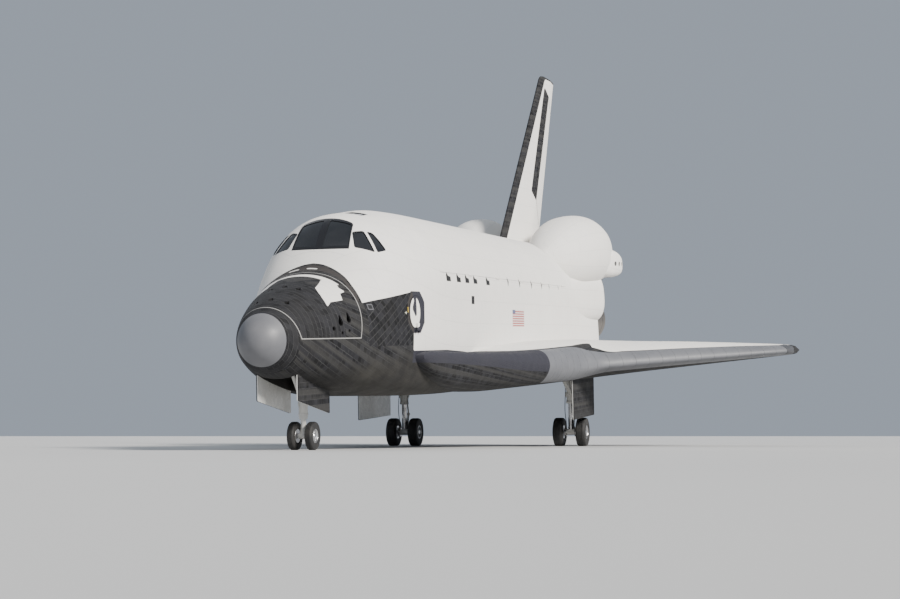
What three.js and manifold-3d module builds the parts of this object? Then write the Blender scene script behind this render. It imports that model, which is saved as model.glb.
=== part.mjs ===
// A winged space shuttle standing on its landing gear, in millimetres with +Z up.
// The airframe is drawn in its own axes: x to port, y aft of the nose tip, z above the flat belly.
// At the end everything is pitched nose down, the way the shuttle stands on its wheels.
import * as THREE from "three";
import { mergeVertices } from "three/addons/utils/BufferGeometryUtils.js";
import Module from "manifold-3d";

const wasm = await Module();
wasm.setup();

// Driving dimensions.
const SEAT_GAP = 0.3; // between pieces that rest on each other
const SKIN_GAP = 0.5; // between a piece and the fuselage skin it stands on
const RUN_GAP = 8; // between pieces that move past each other
const FAR = 60000; // longer than the whole vehicle
const COVE_REACH = 1600; // how far a cove's cut goes past the skin
const RING_POINTS = 36; // around a fuselage section
const POD_POINTS = 24;
const ROUND = 14; // sides of a pin or tube
const BELL_SIDES = 24;
const WHEEL_SIDES = 24;
const STANDING_PITCH = THREE.MathUtils.degToRad(3.5); // nose down on its wheels

const NOSE_CAP_END = 510;
const BAY_FRONT = 8790;
const BAY_BACK = 27205;
const TAIL_END = 32870;
const DOOR_SPLIT = 3885; // height where the payload doors meet the side walls
const CABIN_WALL = 150;

const WING_ROOT = 2667; // half width where the wing meets the fuselage
const WING_TIP = 11890;
const WING_HEIGHT = 508; // chord line at the root, above the belly
const DIHEDRAL = THREE.MathUtils.degToRad(3.5);
const ELEVON_HINGE = 29235;
const ROOT_TRAIL = 32273; // trailing edge at the root
const TRAIL_SWEEP = 0.1773; // how far the trailing edge moves forward per unit of span
const HINGE_HALF_ROOT = 290; // half thickness at the elevon hinge
const HINGE_HALF_TIP = 115;
const ELEVON_SPANS = { inboard: [310, 5190], outboard: [5350, 9020] }; // along the hinge from the root
const EDGE_START = 4250; // span where the heat-proof leading edge begins
const EDGE_DEPTH = 420; // square to the leading edge

const FIN_BASE = 5700;
const FIN_ROOT = 5994;
const FIN_TIP = 14013;
const FIN_LEAD = 26540; // leading edge at the root height, swept 45 degrees
const FIN_CHORD_ROOT = 6820;
const FIN_CHORD_TIP = 2755;
const FIN_HINGE_SHARE = 0.6;
const FIN_HALF_ROOT = 357; // half thickness at the hinge line
const FIN_HALF_TIP = 144;
const RUDDER_SWEEP = THREE.MathUtils.degToRad(34.83);
const RUDDER_FOOT = 7975; // height of the rudder's lower end on the hinge line
const RUDDER_LENGTH = 6220; // along the hinge line
const RUDDER_CHORD_FOOT = 2110;
const RUDDER_CHORD_HEAD = 1170;
const RUDDER_HALF_FOOT = 305;
const RUDDER_HALF_HEAD = 169;

const FLAP_HINGE = 32918;
const FLAP_HEIGHT = 508;
const FLAP_END = 34976;
const FLAP_HALF_SPAN = 3010;
const FLAP_NOSE = 250;

const NOSE_GEAR_AFT = 3500;
const MAIN_GEAR_AFT = 23774;
const MAIN_GEAR_SPAN = 3459;
const MAIN_AXLE_HEIGHT = -1981;
const MAIN_TYRE = { radius: 565, half: 203, rim: 267, spacing: 460 };
const NOSE_TYRE = { radius: 406, half: 112, rim: 203, spacing: 270 };
// Each tyre stands on the middle of one of its flats, as on its contact patch.
const WHEEL_TURN = Math.PI / WHEEL_SIDES - STANDING_PITCH;
const standing = (tyre) => tyre.radius * Math.cos(Math.PI / WHEEL_SIDES);
// The nose axle's height puts both tyres on one level floor once the airframe is pitched.
const NOSE_AXLE_HEIGHT =
  MAIN_AXLE_HEIGHT +
  ((MAIN_GEAR_AFT - NOSE_GEAR_AFT) * Math.sin(STANDING_PITCH) - standing(MAIN_TYRE) + standing(NOSE_TYRE)) /
    Math.cos(STANDING_PITCH);
const MAIN_WELL = { inner: 2800, outer: 4230, front: 20420, back: 24360, ceiling: 1000 };
const NOSE_WELL = { half: 560, front: 1560, back: 4000, ceiling: 1500 };

// Solids from geometry, and back.
function solid(geometry) {
  const bare = new THREE.BufferGeometry().setAttribute("position", geometry.getAttribute("position"));
  if (geometry.index) bare.setIndex(geometry.index);
  const merged = mergeVertices(bare, 1e-3);
  const make = (triVerts) =>
    new wasm.Manifold(
      new wasm.Mesh({ numProp: 3, vertProperties: merged.attributes.position.array, triVerts })
    );
  const triVerts = new Uint32Array(merged.index.array);
  const made = make(triVerts);
  if (made.volume() >= 0) return made;
  for (let i = 0; i < triVerts.length; i += 3) {
    [triVerts[i + 1], triVerts[i + 2]] = [triVerts[i + 2], triVerts[i + 1]];
  }
  return make(triVerts);
}

function geometryOf(manifold) {
  const mesh = manifold.getMesh();
  const indexed = new THREE.BufferGeometry();
  indexed.setAttribute("position", new THREE.BufferAttribute(mesh.vertProperties, mesh.numProp));
  indexed.setIndex(new THREE.BufferAttribute(mesh.triVerts, 1));
  const flat = indexed.toNonIndexed();
  flat.computeVertexNormals();
  return flat;
}

const join = (...parts) => parts.reduce((whole, part) => whole.add(part));

function box(x0, x1, y0, y1, z0, z1) {
  const geometry = new THREE.BoxGeometry(x1 - x0, y1 - y0, z1 - z0);
  return solid(geometry.translate((x0 + x1) / 2, (y0 + y1) / 2, (z0 + z1) / 2));
}

// A slice across the airframe, for cutting the long forms into their real panels.
const between = (front, back) => box(-FAR, FAR, front, back, -FAR, FAR);

// A round bar or cone whose axis runs from one point to another.
function bar(from, to, radius, endRadius = radius, sides = ROUND) {
  const along = to.clone().sub(from);
  const geometry = new THREE.CylinderGeometry(endRadius, radius, along.length(), sides);
  geometry.translate(0, along.length() / 2, 0);
  geometry.applyQuaternion(
    new THREE.Quaternion().setFromUnitVectors(new THREE.Vector3(0, 1, 0), along.normalize())
  );
  return solid(geometry.translate(from.x, from.y, from.z));
}

// A turning pin, and the bore it turns in. Both have enough sides to run close at every angle.
const PIN_FLAT = 0.6; // how deep a flat may lie under the pin's true circle
const pinSides = (radius) => 2 * Math.ceil(Math.PI / (2 * Math.acos(1 - PIN_FLAT / radius)));
const pin = (from, to, radius) => bar(from, to, radius, radius, pinSides(radius));
const bore = (from, to, radius) => {
  const clear = (radius + SEAT_GAP) / Math.cos(Math.PI / pinSides(radius));
  return bar(from, to, clear, clear, pinSides(radius));
};

const at = (x, y, z) => new THREE.Vector3(x, y, z);

// A closed form through rings of equal length, with its two end faces filled.
function loft(rings, flatten) {
  const count = rings[0].length;
  const points = rings.flat();
  const index = [];
  for (let r = 0; r < rings.length - 1; r++) {
    for (let i = 0; i < count; i++) {
      const a = r * count + i;
      const b = r * count + ((i + 1) % count);
      // The shorter diagonal, so that the port and starboard sides match.
      const rising = points[a].distanceTo(points[b + count]) < points[b].distanceTo(points[a + count]);
      if (rising) index.push(a, b, b + count, a, b + count, a + count);
      else index.push(a, b, a + count, b, b + count, a + count);
    }
  }
  // triangulateShape always answers anticlockwise, so each cap is turned to match the sides.
  const clockwise = THREE.ShapeUtils.isClockWise(rings[0].map(flatten));
  const cap = (ring, offset, turned) => {
    const faces = THREE.ShapeUtils.triangulateShape(ring.map(flatten), []);
    for (const [a, b, c] of faces) index.push(...(turned ? [a, c, b] : [a, b, c]).map((v) => v + offset));
  };
  cap(rings[0], 0, !clockwise);
  cap(rings.at(-1), (rings.length - 1) * count, clockwise);
  const geometry = new THREE.BufferGeometry();
  geometry.setAttribute("position", new THREE.Float32BufferAttribute(points.flatMap((p) => p.toArray()), 3));
  geometry.setIndex(index);
  return solid(geometry);
}

// The fuselage's outer form, as sections of two half superellipses that meet at the waist.
const FUSELAGE = [
  // aft, top, bottom, half width, waist height, upper power, lower power
  [0, 1840, 1815, 15, 1830, 2, 2],
  [75, 2135, 1525, 305, 1830, 2, 2],
  [205, 2325, 1335, 495, 1830, 2, 2],
  [510, 2565, 1120, 710, 1830, 2, 2],
  [990, 2845, 925, 950, 1830, 2, 2.1],
  [1625, 3110, 760, 1195, 1855, 2, 2.2],
  [2895, 3520, 520, 1615, 1930, 2.05, 2.5],
  [4165, 3880, 330, 1955, 2110, 2.1, 3.0],
  [4640, 4150, 285, 2070, 2200, 2.1, 3.2],
  [4930, 4520, 255, 2135, 2260, 2.1, 3.4],
  [5565, 5270, 205, 2260, 2415, 2.1, 3.8],
  [5950, 5520, 170, 2330, 2530, 2.1, 4.0],
  [6400, 5620, 140, 2410, 2690, 2.1, 4.4],
  [7720, 5780, 75, 2580, 3125, 2.05, 5.6],
  [BAY_FRONT, 5900, 40, 2640, 3325, 2, 7],
  [11785, 5945, 0, WING_ROOT, 3380, 2, 8],
  [BAY_BACK, 5945, 0, WING_ROOT, 3380, 2, 8],
  [29000, 5940, 10, 2700, 3380, 2.1, 8],
  [TAIL_END, 5865, 180, 2930, 3325, 2.4, 8],
];

// The payload bay's lining, a long round-bottomed trough under a round roof.
const BAY = [
  [BAY_FRONT - 500, 5690, 1090, 2330, 3380, 2, 2.8],
  [BAY_BACK + 500, 5690, 1090, 2330, 3380, 2, 2.8],
];

function sectionRing([aft, top, bottom, half, waist, upper, lower], grow, points = RING_POINTS) {
  return Array.from({ length: points }, (_, i) => {
    const turn = ((i + 0.5) / points) * 2 * Math.PI;
    const across = Math.cos(turn);
    const up = Math.sin(turn);
    const power = 2 / (up >= 0 ? upper : lower);
    const reach = up >= 0 ? top - waist : waist - bottom;
    return at(
      (half + grow) * Math.sign(across) * Math.abs(across) ** power,
      aft,
      waist + (reach + grow) * Math.sign(up) * Math.abs(up) ** power
    );
  });
}

const acrossView = (p) => new THREE.Vector2(p.x, p.z);
const sideView = (p) => new THREE.Vector2(p.y, p.z);

function hull(grow = 0, rows = FUSELAGE) {
  return loft(rows.map((row) => sectionRing(row, grow)), acrossView);
}

// A rounded form off the centre line, from rows of aft, centre out, centre height, half width, half height.
const bulge = (rows, power, grow = 0) =>
  loft(
    rows.map(([aft, out, height, half, tall]) => {
      const section = [aft, height + tall, height - tall, half, height, power, power];
      return sectionRing(section, grow, POD_POINTS).map((p) => p.setX(p.x + out));
    }),
    acrossView
  );
const flipped = (form) => solid(geometryOf(form).scale(-1, 1, 1));
const bothSides = (form) => join(form, flipped(form));

// The wing, from inside the fuselage to the tip. Its forward part is an aerofoil, and behind the
// elevon hinge it is a straight wedge.
const WING = [
  // span, leading edge aft, upper rise, lower rise, upper peak share, lower peak share, sharpness
  [1524, 6450, 1180, 420, 0.72, 0.1, 0.6],
  [WING_ROOT, 6700, 1170, 495, 0.72, 0.1, 0.6],
  [3100, 9430, 1150, 490, 0.7, 0.12, 0.6],
  [3685, 13120, 1110, 480, 0.66, 0.16, 0.6],
  [4320, 17120, 1040, 455, 0.56, 0.24, 0.6],
  [4775, 19850, 980, 430, 0.5, 0.3, 0.54],
  [5205, 20900, 935, 410, 0.47, 0.34, 0.5],
  [5840, 21570, 870, 380, 0.46, 0.36, 0.5],
  [7620, 23260, 710, 310, 0.45, 0.38, 0.5],
  [10160, 25650, 440, 215, 0.45, 0.4, 0.5],
  [11430, 26850, 290, 165, 0.45, 0.4, 0.5],
  [11750, 27260, 240, 150, 0.45, 0.4, 0.5],
  [WING_TIP, 27700, 180, 125, 0.45, 0.4, 0.5],
];
const WING_SHARES = [0.008, 0.03, 0.07, 0.13, 0.22, 0.34, 0.5, 0.66, 0.82, 1];
const BELLY_FLAT_TO = 0.7; // the share of the way to the hinge where the underside starts to rise
const TRAIL_HALF = 14; // half thickness of the trailing edges

const outShare = (span) => (span - WING_ROOT) / (WING_TIP - WING_ROOT);
const chordHeight = (span) => WING_HEIGHT + (span - WING_ROOT) * Math.tan(DIHEDRAL);
const hingeHalf = (span) => THREE.MathUtils.lerp(HINGE_HALF_ROOT, HINGE_HALF_TIP, outShare(span));
const trailAft = (span) => ROOT_TRAIL - TRAIL_SWEEP * (span - WING_ROOT);

function thickness(share, peak, flatTo, sharpness, endShare) {
  if (share < peak) return (1 - (1 - share / peak) ** 2) ** sharpness;
  const fallen = Math.max(0, (share - flatTo) / (1 - flatTo));
  return endShare + (1 - endShare) * Math.cos((fallen * Math.PI) / 2);
}

// Ahead of the outer panels the leading edge rises forward to meet the fuselage's side.
const GLOVE = { back: 20000, slope: 0.061, fade: 0.3 };
function gloveLift(lead, share) {
  const lift = Math.max(0, GLOVE.back - lead) * GLOVE.slope;
  return lift * Math.max(0, 1 - share / GLOVE.fade) ** 2;
}

function wingRing([span, lead, upper, lower, upperPeak, lowerPeak, sharpness]) {
  const middle = chordHeight(span);
  const hinge = hingeHalf(span);
  const chord = ELEVON_HINGE - lead;
  const skin = (share, rise) => at(span, lead + share * chord, middle + gloveLift(lead, share) + rise);
  const above = WING_SHARES.map((share) =>
    skin(share, upper * thickness(share, upperPeak, upperPeak, sharpness, hinge / upper))
  );
  const below = WING_SHARES.map((share) =>
    skin(share, -lower * thickness(share, lowerPeak, BELLY_FLAT_TO, 0.5, hinge / lower))
  );
  return [
    skin(0, 0),
    ...above,
    at(span, trailAft(span), middle + TRAIL_HALF),
    at(span, trailAft(span), middle - TRAIL_HALF),
    ...below.reverse(),
  ];
}

// A point on the elevon hinge line, and a slab across that line, square to it.
const SLAB_HEIGHT = 20000;
const hingeAt = (along) =>
  at(WING_ROOT + along * Math.cos(DIHEDRAL), ELEVON_HINGE, WING_HEIGHT + along * Math.sin(DIHEDRAL));

function hingeSlab(from, to, front = -FAR, back = FAR) {
  const geometry = new THREE.BoxGeometry(to - from, back - front, SLAB_HEIGHT);
  geometry.translate((from + to) / 2, (front + back) / 2, 0).rotateY(-DIHEDRAL);
  return solid(geometry.translate(WING_ROOT, 0, WING_HEIGHT));
}

const COVE_SLACK = 4; // makes up for the flats of the cove's arc
// What a hinged surface sweeps out of the piece in front of it. The cut is a round cove about the
// hinge, whose lips are set back so that the surface can swing past them.
function coveRing(place, half, topLip, bottomLip, reach = COVE_REACH) {
  const radius = half + RUN_GAP + COVE_SLACK;
  const start = Math.PI / 2 + Math.asin((topLip * half) / radius);
  const end = (3 * Math.PI) / 2 - Math.asin((bottomLip * half) / radius);
  const steps = 8;
  const arc = Array.from({ length: steps + 1 }, (_, i) => {
    const turn = THREE.MathUtils.lerp(start, end, i / steps);
    return [Math.cos(turn) * radius, Math.sin(turn) * radius];
  });
  return [
    [-topLip * half, reach],
    ...arc,
    [-bottomLip * half, -reach],
    [4 * COVE_REACH, -reach],
    [4 * COVE_REACH, reach],
  ].map(([u, v]) => place(u, v));
}

const wingWhole = loft(WING.map(wingRing), sideView);
const fuselageForm = hull();
const fuselageClear = hull(SKIN_GAP);

const ELEVON_PIN = 40;
const RIB_REACH = 150; // of the rib between the elevons, behind their hinge
const ELEVON_PIN_REACH = 60; // into the ribs at the elevon's ends
// How far the wing's skin is set back from the hinge, as shares of its half thickness.
const ELEVON_LIPS = { top: 0.4, bottom: 0.27 };
const elevonCove = (from, to) =>
  loft(
    [from, to].map((along) => {
      const hinge = hingeAt(along);
      const half = hingeHalf(hinge.x);
      const onCove = (u, v) =>
        at(hinge.x - v * Math.sin(DIHEDRAL), hinge.y + u, hinge.z + v * Math.cos(DIHEDRAL));
      return coveRing(onCove, half, ELEVON_LIPS.top, ELEVON_LIPS.bottom);
    }),
    sideView
  );

function makeElevon([from, to]) {
  const start = hingeAt(from + RUN_GAP);
  const end = hingeAt(to - RUN_GAP);
  const behind = wingWhole.intersect(hingeSlab(from + RUN_GAP, to - RUN_GAP, ELEVON_HINGE, FAR));
  const nose = bar(start, end, hingeHalf(start.x) - 3, hingeHalf(end.x) - 3);
  const pins = pin(hingeAt(from - ELEVON_PIN_REACH), hingeAt(to + ELEVON_PIN_REACH), ELEVON_PIN);
  return join(behind, nose, pins);
}

const EDGE_PRISM = { beyond: 100, foot: -2000, tall: 6000 };
// The strip of leading edge that carries the grey heat-proof panels, as seen from above.
function edgePrism(depth, inner) {
  const next = WING.findIndex(([span]) => span > inner);
  const [before, after] = [WING[next - 1], WING[next]];
  const innerLead = THREE.MathUtils.mapLinear(inner, before[0], after[0], before[1], after[1]);
  const lead = [[inner, innerLead], ...WING.slice(next)];
  const back = lead.map(([span, aft], i) => {
    const from = lead[Math.max(i - 1, 0)];
    const to = lead[Math.min(i + 1, lead.length - 1)];
    const [out, along] = [to[0] - from[0], to[1] - from[1]];
    const reach = depth / Math.hypot(out, along);
    return [span - along * reach, aft + out * reach];
  });
  const shape = new THREE.Shape();
  shape.moveTo(inner, 0);
  shape.lineTo(inner, innerLead);
  for (const [span, aft] of back) shape.lineTo(span, aft);
  shape.lineTo(WING_TIP + EDGE_PRISM.beyond, back.at(-1)[1]);
  shape.lineTo(WING_TIP + EDGE_PRISM.beyond, 0);
  const geometry = new THREE.ExtrudeGeometry(shape, { depth: EDGE_PRISM.tall, bevelEnabled: false });
  return solid(geometry.translate(0, 0, EDGE_PRISM.foot));
}

const mainWell = box(
  MAIN_WELL.inner, MAIN_WELL.outer, MAIN_WELL.front, MAIN_WELL.back, -FAR, MAIN_WELL.ceiling
);

// Where the shuttle is held from below: sockets in the belly.
const FITTINGS = {
  forward_attach_fitting: { x: 0, y: 4480, radius: 150, foot: 215 },
  aft_attach_fitting_port: { x: 2200, y: 27420, radius: 190, foot: -70 },
  aft_attach_fitting_starboard: { x: -2200, y: 27420, radius: 190, foot: -70 },
};
const FITTING_LENGTH = 600;
const fittingBar = ({ x, y, radius, foot }, grow) =>
  bar(at(x, y, foot), at(x, y, foot + FITTING_LENGTH), radius + grow);
const makeFitting = (fitting) => fittingBar(fitting, 0).subtract(fuselageClear);

function makeWing() {
  const { inboard, outboard } = ELEVON_SPANS;
  const rib = hingeSlab(inboard[1] - 1, outboard[0] + 1, ELEVON_HINGE + RIB_REACH, FAR);
  const bores = [inboard, outboard].map(([from, to]) =>
    bore(hingeAt(from - ELEVON_PIN_REACH - 5), hingeAt(to + ELEVON_PIN_REACH + 5), ELEVON_PIN)
  );
  return wingWhole
    .subtract(fuselageClear)
    .subtract(edgePrism(EDGE_DEPTH + SEAT_GAP, EDGE_START - SEAT_GAP))
    .subtract(elevonCove(...inboard))
    .subtract(elevonCove(...outboard))
    .subtract(rib)
    .subtract(join(...bores))
    .subtract(fittingBar(FITTINGS.aft_attach_fitting_port, SEAT_GAP))
    .subtract(mainWell);
}

const makeLeadingEdge = () => wingWhole.intersect(edgePrism(EDGE_DEPTH, EDGE_START));

// The fin, a double wedge, and the frame along its swept hinge line.
const FIN_NOSE = [[30, 20], [60, 90]]; // half thickness and how far behind the leading edge
const finShare = (height) => (height - FIN_ROOT) / (FIN_TIP - FIN_ROOT);
function finRing(height, tipCut = 0) {
  const share = finShare(height);
  const lead = FIN_LEAD + (height - FIN_ROOT) + tipCut;
  const chord = finChord(height);
  const hinge = lead - tipCut + FIN_HINGE_SHARE * chord;
  const half = THREE.MathUtils.lerp(FIN_HALF_ROOT, FIN_HALF_TIP, share) * (tipCut ? 0.6 : 1);
  const trail = lead - tipCut + chord;
  const side = [
    ...FIN_NOSE.map(([x, behind]) => [x, lead + behind]),
    [half, hinge],
    [TRAIL_HALF, trail],
  ];
  return [
    at(0, lead, height),
    ...side.map(([x, y]) => at(x, y, height)),
    ...side.toReversed().map(([x, y]) => at(-x, y, height)),
  ];
}
const finChord = (height) => THREE.MathUtils.lerp(FIN_CHORD_ROOT, FIN_CHORD_TIP, finShare(height));
const finHingeAft = (height) => FIN_LEAD + (height - FIN_ROOT) + FIN_HINGE_SHARE * finChord(height);
const rudderFoot = at(0, finHingeAft(RUDDER_FOOT), RUDDER_FOOT);
// across is behind the hinge, side is to port, along is up the hinge line
const rudderPoint = (across, side, along) =>
  at(
    side,
    rudderFoot.y + along * Math.sin(RUDDER_SWEEP) + across * Math.cos(RUDDER_SWEEP),
    rudderFoot.z + along * Math.cos(RUDDER_SWEEP) - across * Math.sin(RUDDER_SWEEP)
  );
const rudderHalf = (along) => THREE.MathUtils.lerp(RUDDER_HALF_FOOT, RUDDER_HALF_HEAD, along / RUDDER_LENGTH);
const flatRudder = (p) => new THREE.Vector2(p.x, p.y * Math.cos(RUDDER_SWEEP) - p.z * Math.sin(RUDDER_SWEEP));
const RUDDER_LIP = 0.95; // how far ahead of the hinge the fin's skin ends, as a share of the thickness
const RUDDER_TUBE = 80;
const RUDDER_PIN = 40;
const PIN_LENGTH = 100;
const COLLAR_RADIUS = 125;
const COLLAR_LENGTH = 120;
const COLLARS = { port: [300, 5500], starboard: [440, 5640] }; // along the hinge line

function makeRudderTube() {
  const along = (from, to, radius) => pin(rudderPoint(0, 0, from), rudderPoint(0, 0, to), radius);
  return along(0, RUDDER_LENGTH, RUDDER_TUBE).add(along(-PIN_LENGTH, RUDDER_LENGTH + PIN_LENGTH, RUDDER_PIN));
}

function arcPoints(radius, from, to, steps) {
  return Array.from({ length: steps + 1 }, (_, i) => {
    const turn = THREE.MathUtils.degToRad(THREE.MathUtils.lerp(from, to, i / steps));
    return [radius * Math.cos(turn), radius * Math.sin(turn)];
  });
}

// One half of the split rudder, on the port side. The collars wrap the hinge tube.
function makeSpeedBrake(own, other) {
  const innerRadius = RUDDER_TUBE + 15;
  const innerFace = RUN_GAP / 2;
  const ring = (along, chord) => {
    const half = rudderHalf(along);
    return [
      [chord, innerFace],
      [chord, TRAIL_HALF],
      ...arcPoints(half, 90, 125, 3),
      ...arcPoints(half - 25, 125, 90, 3),
      ...arcPoints(innerRadius, 90, 4, 4),
    ].map(([across, side]) => rudderPoint(across, side, along));
  };
  const collar = (start, radius, extra, shape = bar) =>
    shape(rudderPoint(0, 0, start - extra), rudderPoint(0, 0, start + COLLAR_LENGTH + extra), radius);
  let panel = loft([ring(0, RUDDER_CHORD_FOOT), ring(RUDDER_LENGTH, RUDDER_CHORD_HEAD)], flatRudder);
  for (const start of other) panel = panel.subtract(collar(start, COLLAR_RADIUS + RUN_GAP, RUN_GAP));
  for (const start of own) {
    panel = panel.add(collar(start, COLLAR_RADIUS, 0)).subtract(collar(start, RUDDER_TUBE, 5, bore));
  }
  return panel;
}

// The body flap under the engines, with lugs of the tail on its hinge.
const FLAP_LUGS = [-1500, 1500];
const LUG_HALF = 60;
const LUG_ROUND = 80;
const LUG_ROOT = { length: 500, half: 65 }; // from the hinge into the tail
const LUG_BORE = 100;
const LUG_SLOT = { half: 400, back: 110, pin: 150 }; // cut into the flap, with the pin across it
const FLAP_PIN = 45;
function makeBodyFlap() {
  const side = [
    ...arcPoints(FLAP_NOSE, 90, 270, 10),
    [FLAP_END - FLAP_HINGE, -22],
    [FLAP_END - FLAP_HINGE, 22],
  ];
  const ring = (x) => side.map(([u, v]) => at(x, FLAP_HINGE + u, FLAP_HEIGHT + v));
  let flap = loft([ring(-FLAP_HALF_SPAN), ring(FLAP_HALF_SPAN)], sideView);
  for (const x of FLAP_LUGS) {
    const reach = LUG_HALF + RUN_GAP;
    const [foot, head] = [FLAP_HEIGHT - LUG_SLOT.half, FLAP_HEIGHT + LUG_SLOT.half];
    const [front, back] = [FLAP_HINGE - LUG_SLOT.half, FLAP_HINGE + LUG_SLOT.back];
    const ends = [-LUG_SLOT.pin, LUG_SLOT.pin].map((side) => at(x + side, FLAP_HINGE, FLAP_HEIGHT));
    flap = flap.subtract(box(x - reach, x + reach, front, back, foot, head)).add(pin(...ends, FLAP_PIN));
  }
  return flap;
}

// Engines: a gimbal point, a direction and the bell that shows behind the heat shield.
const tilted = (up, out) => {
  const pitch = THREE.MathUtils.degToRad(up);
  const yaw = THREE.MathUtils.degToRad(out);
  return at(Math.sin(yaw) * Math.cos(pitch), Math.cos(yaw) * Math.cos(pitch), Math.sin(pitch));
};
const ENGINES = {
  main_engine_upper: { gimbal: at(0, 30710, 4470), along: tilted(16, 0) },
  main_engine_port: { gimbal: at(1346, 31295, 1921), along: tilted(10, 3.5) },
  main_engine_starboard: { gimbal: at(-1346, 31295, 1921), along: tilted(10, -3.5) },
};
const MAIN_BELL = [
  // distance from the gimbal, radius
  [1880, 640], [2380, 830], [2900, 985], [3420, 1095], [3990, 1180],
];
const SHIELD_ROUND = { start: 1000, startRadius: 1250, end: 1880 - SEAT_GAP, endRadius: 820 };
const POD_ENGINES = {
  pod_engine_port: { gimbal: at(2235, 32563, 5715), along: tilted(14, 4) },
};
const POD_BELL = [[1290, 270], [1600, 400], [1900, 490], [2170, 545]];
const POD_BELL_WELL = 340; // radius of the recess that the pod's engine comes out of

function bell(profile, wall, { gimbal, along }) {
  const outer = profile.map(([d, r]) => new THREE.Vector2(r, d));
  const inner = profile.slice(1).map(([d, r]) => new THREE.Vector2(r - wall, d)).reverse();
  const throat = profile[1][0] - wall;
  const outline = [new THREE.Vector2(0, profile[0][0]), ...outer, ...inner, new THREE.Vector2(0, throat)];
  const geometry = new THREE.LatheGeometry(outline, BELL_SIDES);
  geometry.applyQuaternion(new THREE.Quaternion().setFromUnitVectors(at(0, 1, 0), along));
  return solid(geometry.translate(gimbal.x, gimbal.y, gimbal.z));
}

const shieldDomes = (grow) =>
  join(
    ...Object.values(ENGINES).map(({ gimbal, along }) =>
      bar(
        gimbal.clone().addScaledVector(along, SHIELD_ROUND.start - grow),
        gimbal.clone().addScaledVector(along, SHIELD_ROUND.end + grow * 0.4),
        SHIELD_ROUND.startRadius + grow,
        SHIELD_ROUND.endRadius + grow,
        BELL_SIDES
      )
    )
  );
const upperBellClear = bar(
  ENGINES.main_engine_upper.gimbal.clone().addScaledVector(ENGINES.main_engine_upper.along, 1700),
  ENGINES.main_engine_upper.gimbal.clone().addScaledVector(ENGINES.main_engine_upper.along, 4200),
  720,
  1330,
  BELL_SIDES
);
const tailClear = () => join(fuselageClear, flanks(SKIN_GAP), shieldDomes(SKIN_GAP), upperBellClear);

// The flanks of the tail flare out above the elevons, towards the base.
const FLANK = [
  // aft, centre out, centre height, half width, half height
  [28300, 2300, 3500, 350, 800],
  [29700, 2330, 3550, 510, 1050],
  [31300, 2400, 3590, 720, 1160],
  [TAIL_END, 2450, 3590, 870, 1180],
];
const flanks = (grow) => bothSides(bulge(FLANK, 2.6, grow));
const BASE_LEAN = 0.155; // forward towards the top, in radians
const BASE_FOOT = 300; // height at which the base ends the fuselage
const FLAP_COVE = { topLip: 0.3, bottomLip: 0.45, reach: 330 };

function makeAftFuselage() {
  const behind = new THREE.BoxGeometry(12000, 6000, 16000).translate(0, 3000, 0).rotateX(BASE_LEAN);
  const base = solid(behind.translate(0, TAIL_END + 20, BASE_FOOT));
  const cove = loft(
    [-1, 1].map((side) =>
      coveRing(
        (u, v) => at(side * (FLAP_HALF_SPAN + RUN_GAP), FLAP_HINGE + u, FLAP_HEIGHT + v),
        FLAP_NOSE,
        FLAP_COVE.topLip,
        FLAP_COVE.bottomLip,
        FLAP_COVE.reach
      )
    ),
    sideView
  );
  let tail = join(fuselageForm, flanks(0)).intersect(between(BAY_BACK + SEAT_GAP, FAR)).subtract(base);
  tail = tail.add(shieldDomes(0)).subtract(cove);
  for (const x of FLAP_LUGS) {
    const onHinge = (side) => at(x + side, FLAP_HINGE, FLAP_HEIGHT);
    const [foot, head] = [FLAP_HEIGHT - LUG_ROOT.half, FLAP_HEIGHT + LUG_ROOT.half];
    const lug = box(x - LUG_HALF, x + LUG_HALF, FLAP_HINGE - LUG_ROOT.length, FLAP_HINGE, foot, head);
    const eye = bar(onHinge(-LUG_HALF), onHinge(LUG_HALF), LUG_ROUND);
    const hole = bore(onHinge(-LUG_BORE), onHinge(LUG_BORE), FLAP_PIN);
    tail = tail.add(lug).add(eye).subtract(hole);
  }
  return tail;
}

function makeFin() {
  const whole = loft(
    [finRing(FIN_BASE), finRing(FIN_TIP - 200), finRing(FIN_TIP - 60, 120), finRing(FIN_TIP, 420)],
    (p) => new THREE.Vector2(p.x, p.y)
  );
  const cove = loft(
    [-RUN_GAP, RUDDER_LENGTH + RUN_GAP].map((along) =>
      coveRing((u, v) => rudderPoint(u, v, along), rudderHalf(along), RUDDER_LIP, RUDDER_LIP)
    ),
    flatRudder
  );
  const eye = bore(
    rudderPoint(0, 0, -PIN_LENGTH - 10),
    rudderPoint(0, 0, RUDDER_LENGTH + PIN_LENGTH + 10),
    RUDDER_PIN
  );
  return whole.subtract(tailClear()).subtract(cove).subtract(eye);
}

// The engine pods on the shoulders of the tail.
const POD = [
  // aft, centre out, centre height, half width, half height
  [27240, 1575, 5156, 200, 200],
  [27800, 1675, 5205, 810, 860],
  [28800, 1830, 5335, 1195, 1320],
  [30070, 1980, 5460, 1420, 1550],
  [31340, 2100, 5535, 1500, 1600],
  [32610, 2240, 5510, 1350, 1475],
  [33370, 2300, 5485, 1160, 1270],
  [33830, 2330, 5460, 900, 1000],
];
const POD_HOUSING = [
  [31600, 2700, 5050, 450, 480],
  [32700, 3150, 5060, 630, 640],
  [33700, 3330, 5000, 530, 500],
  [34250, 3330, 4950, 350, 290],
];
const FIN_CLEAR = 430; // keeps the pods off the fin

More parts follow.
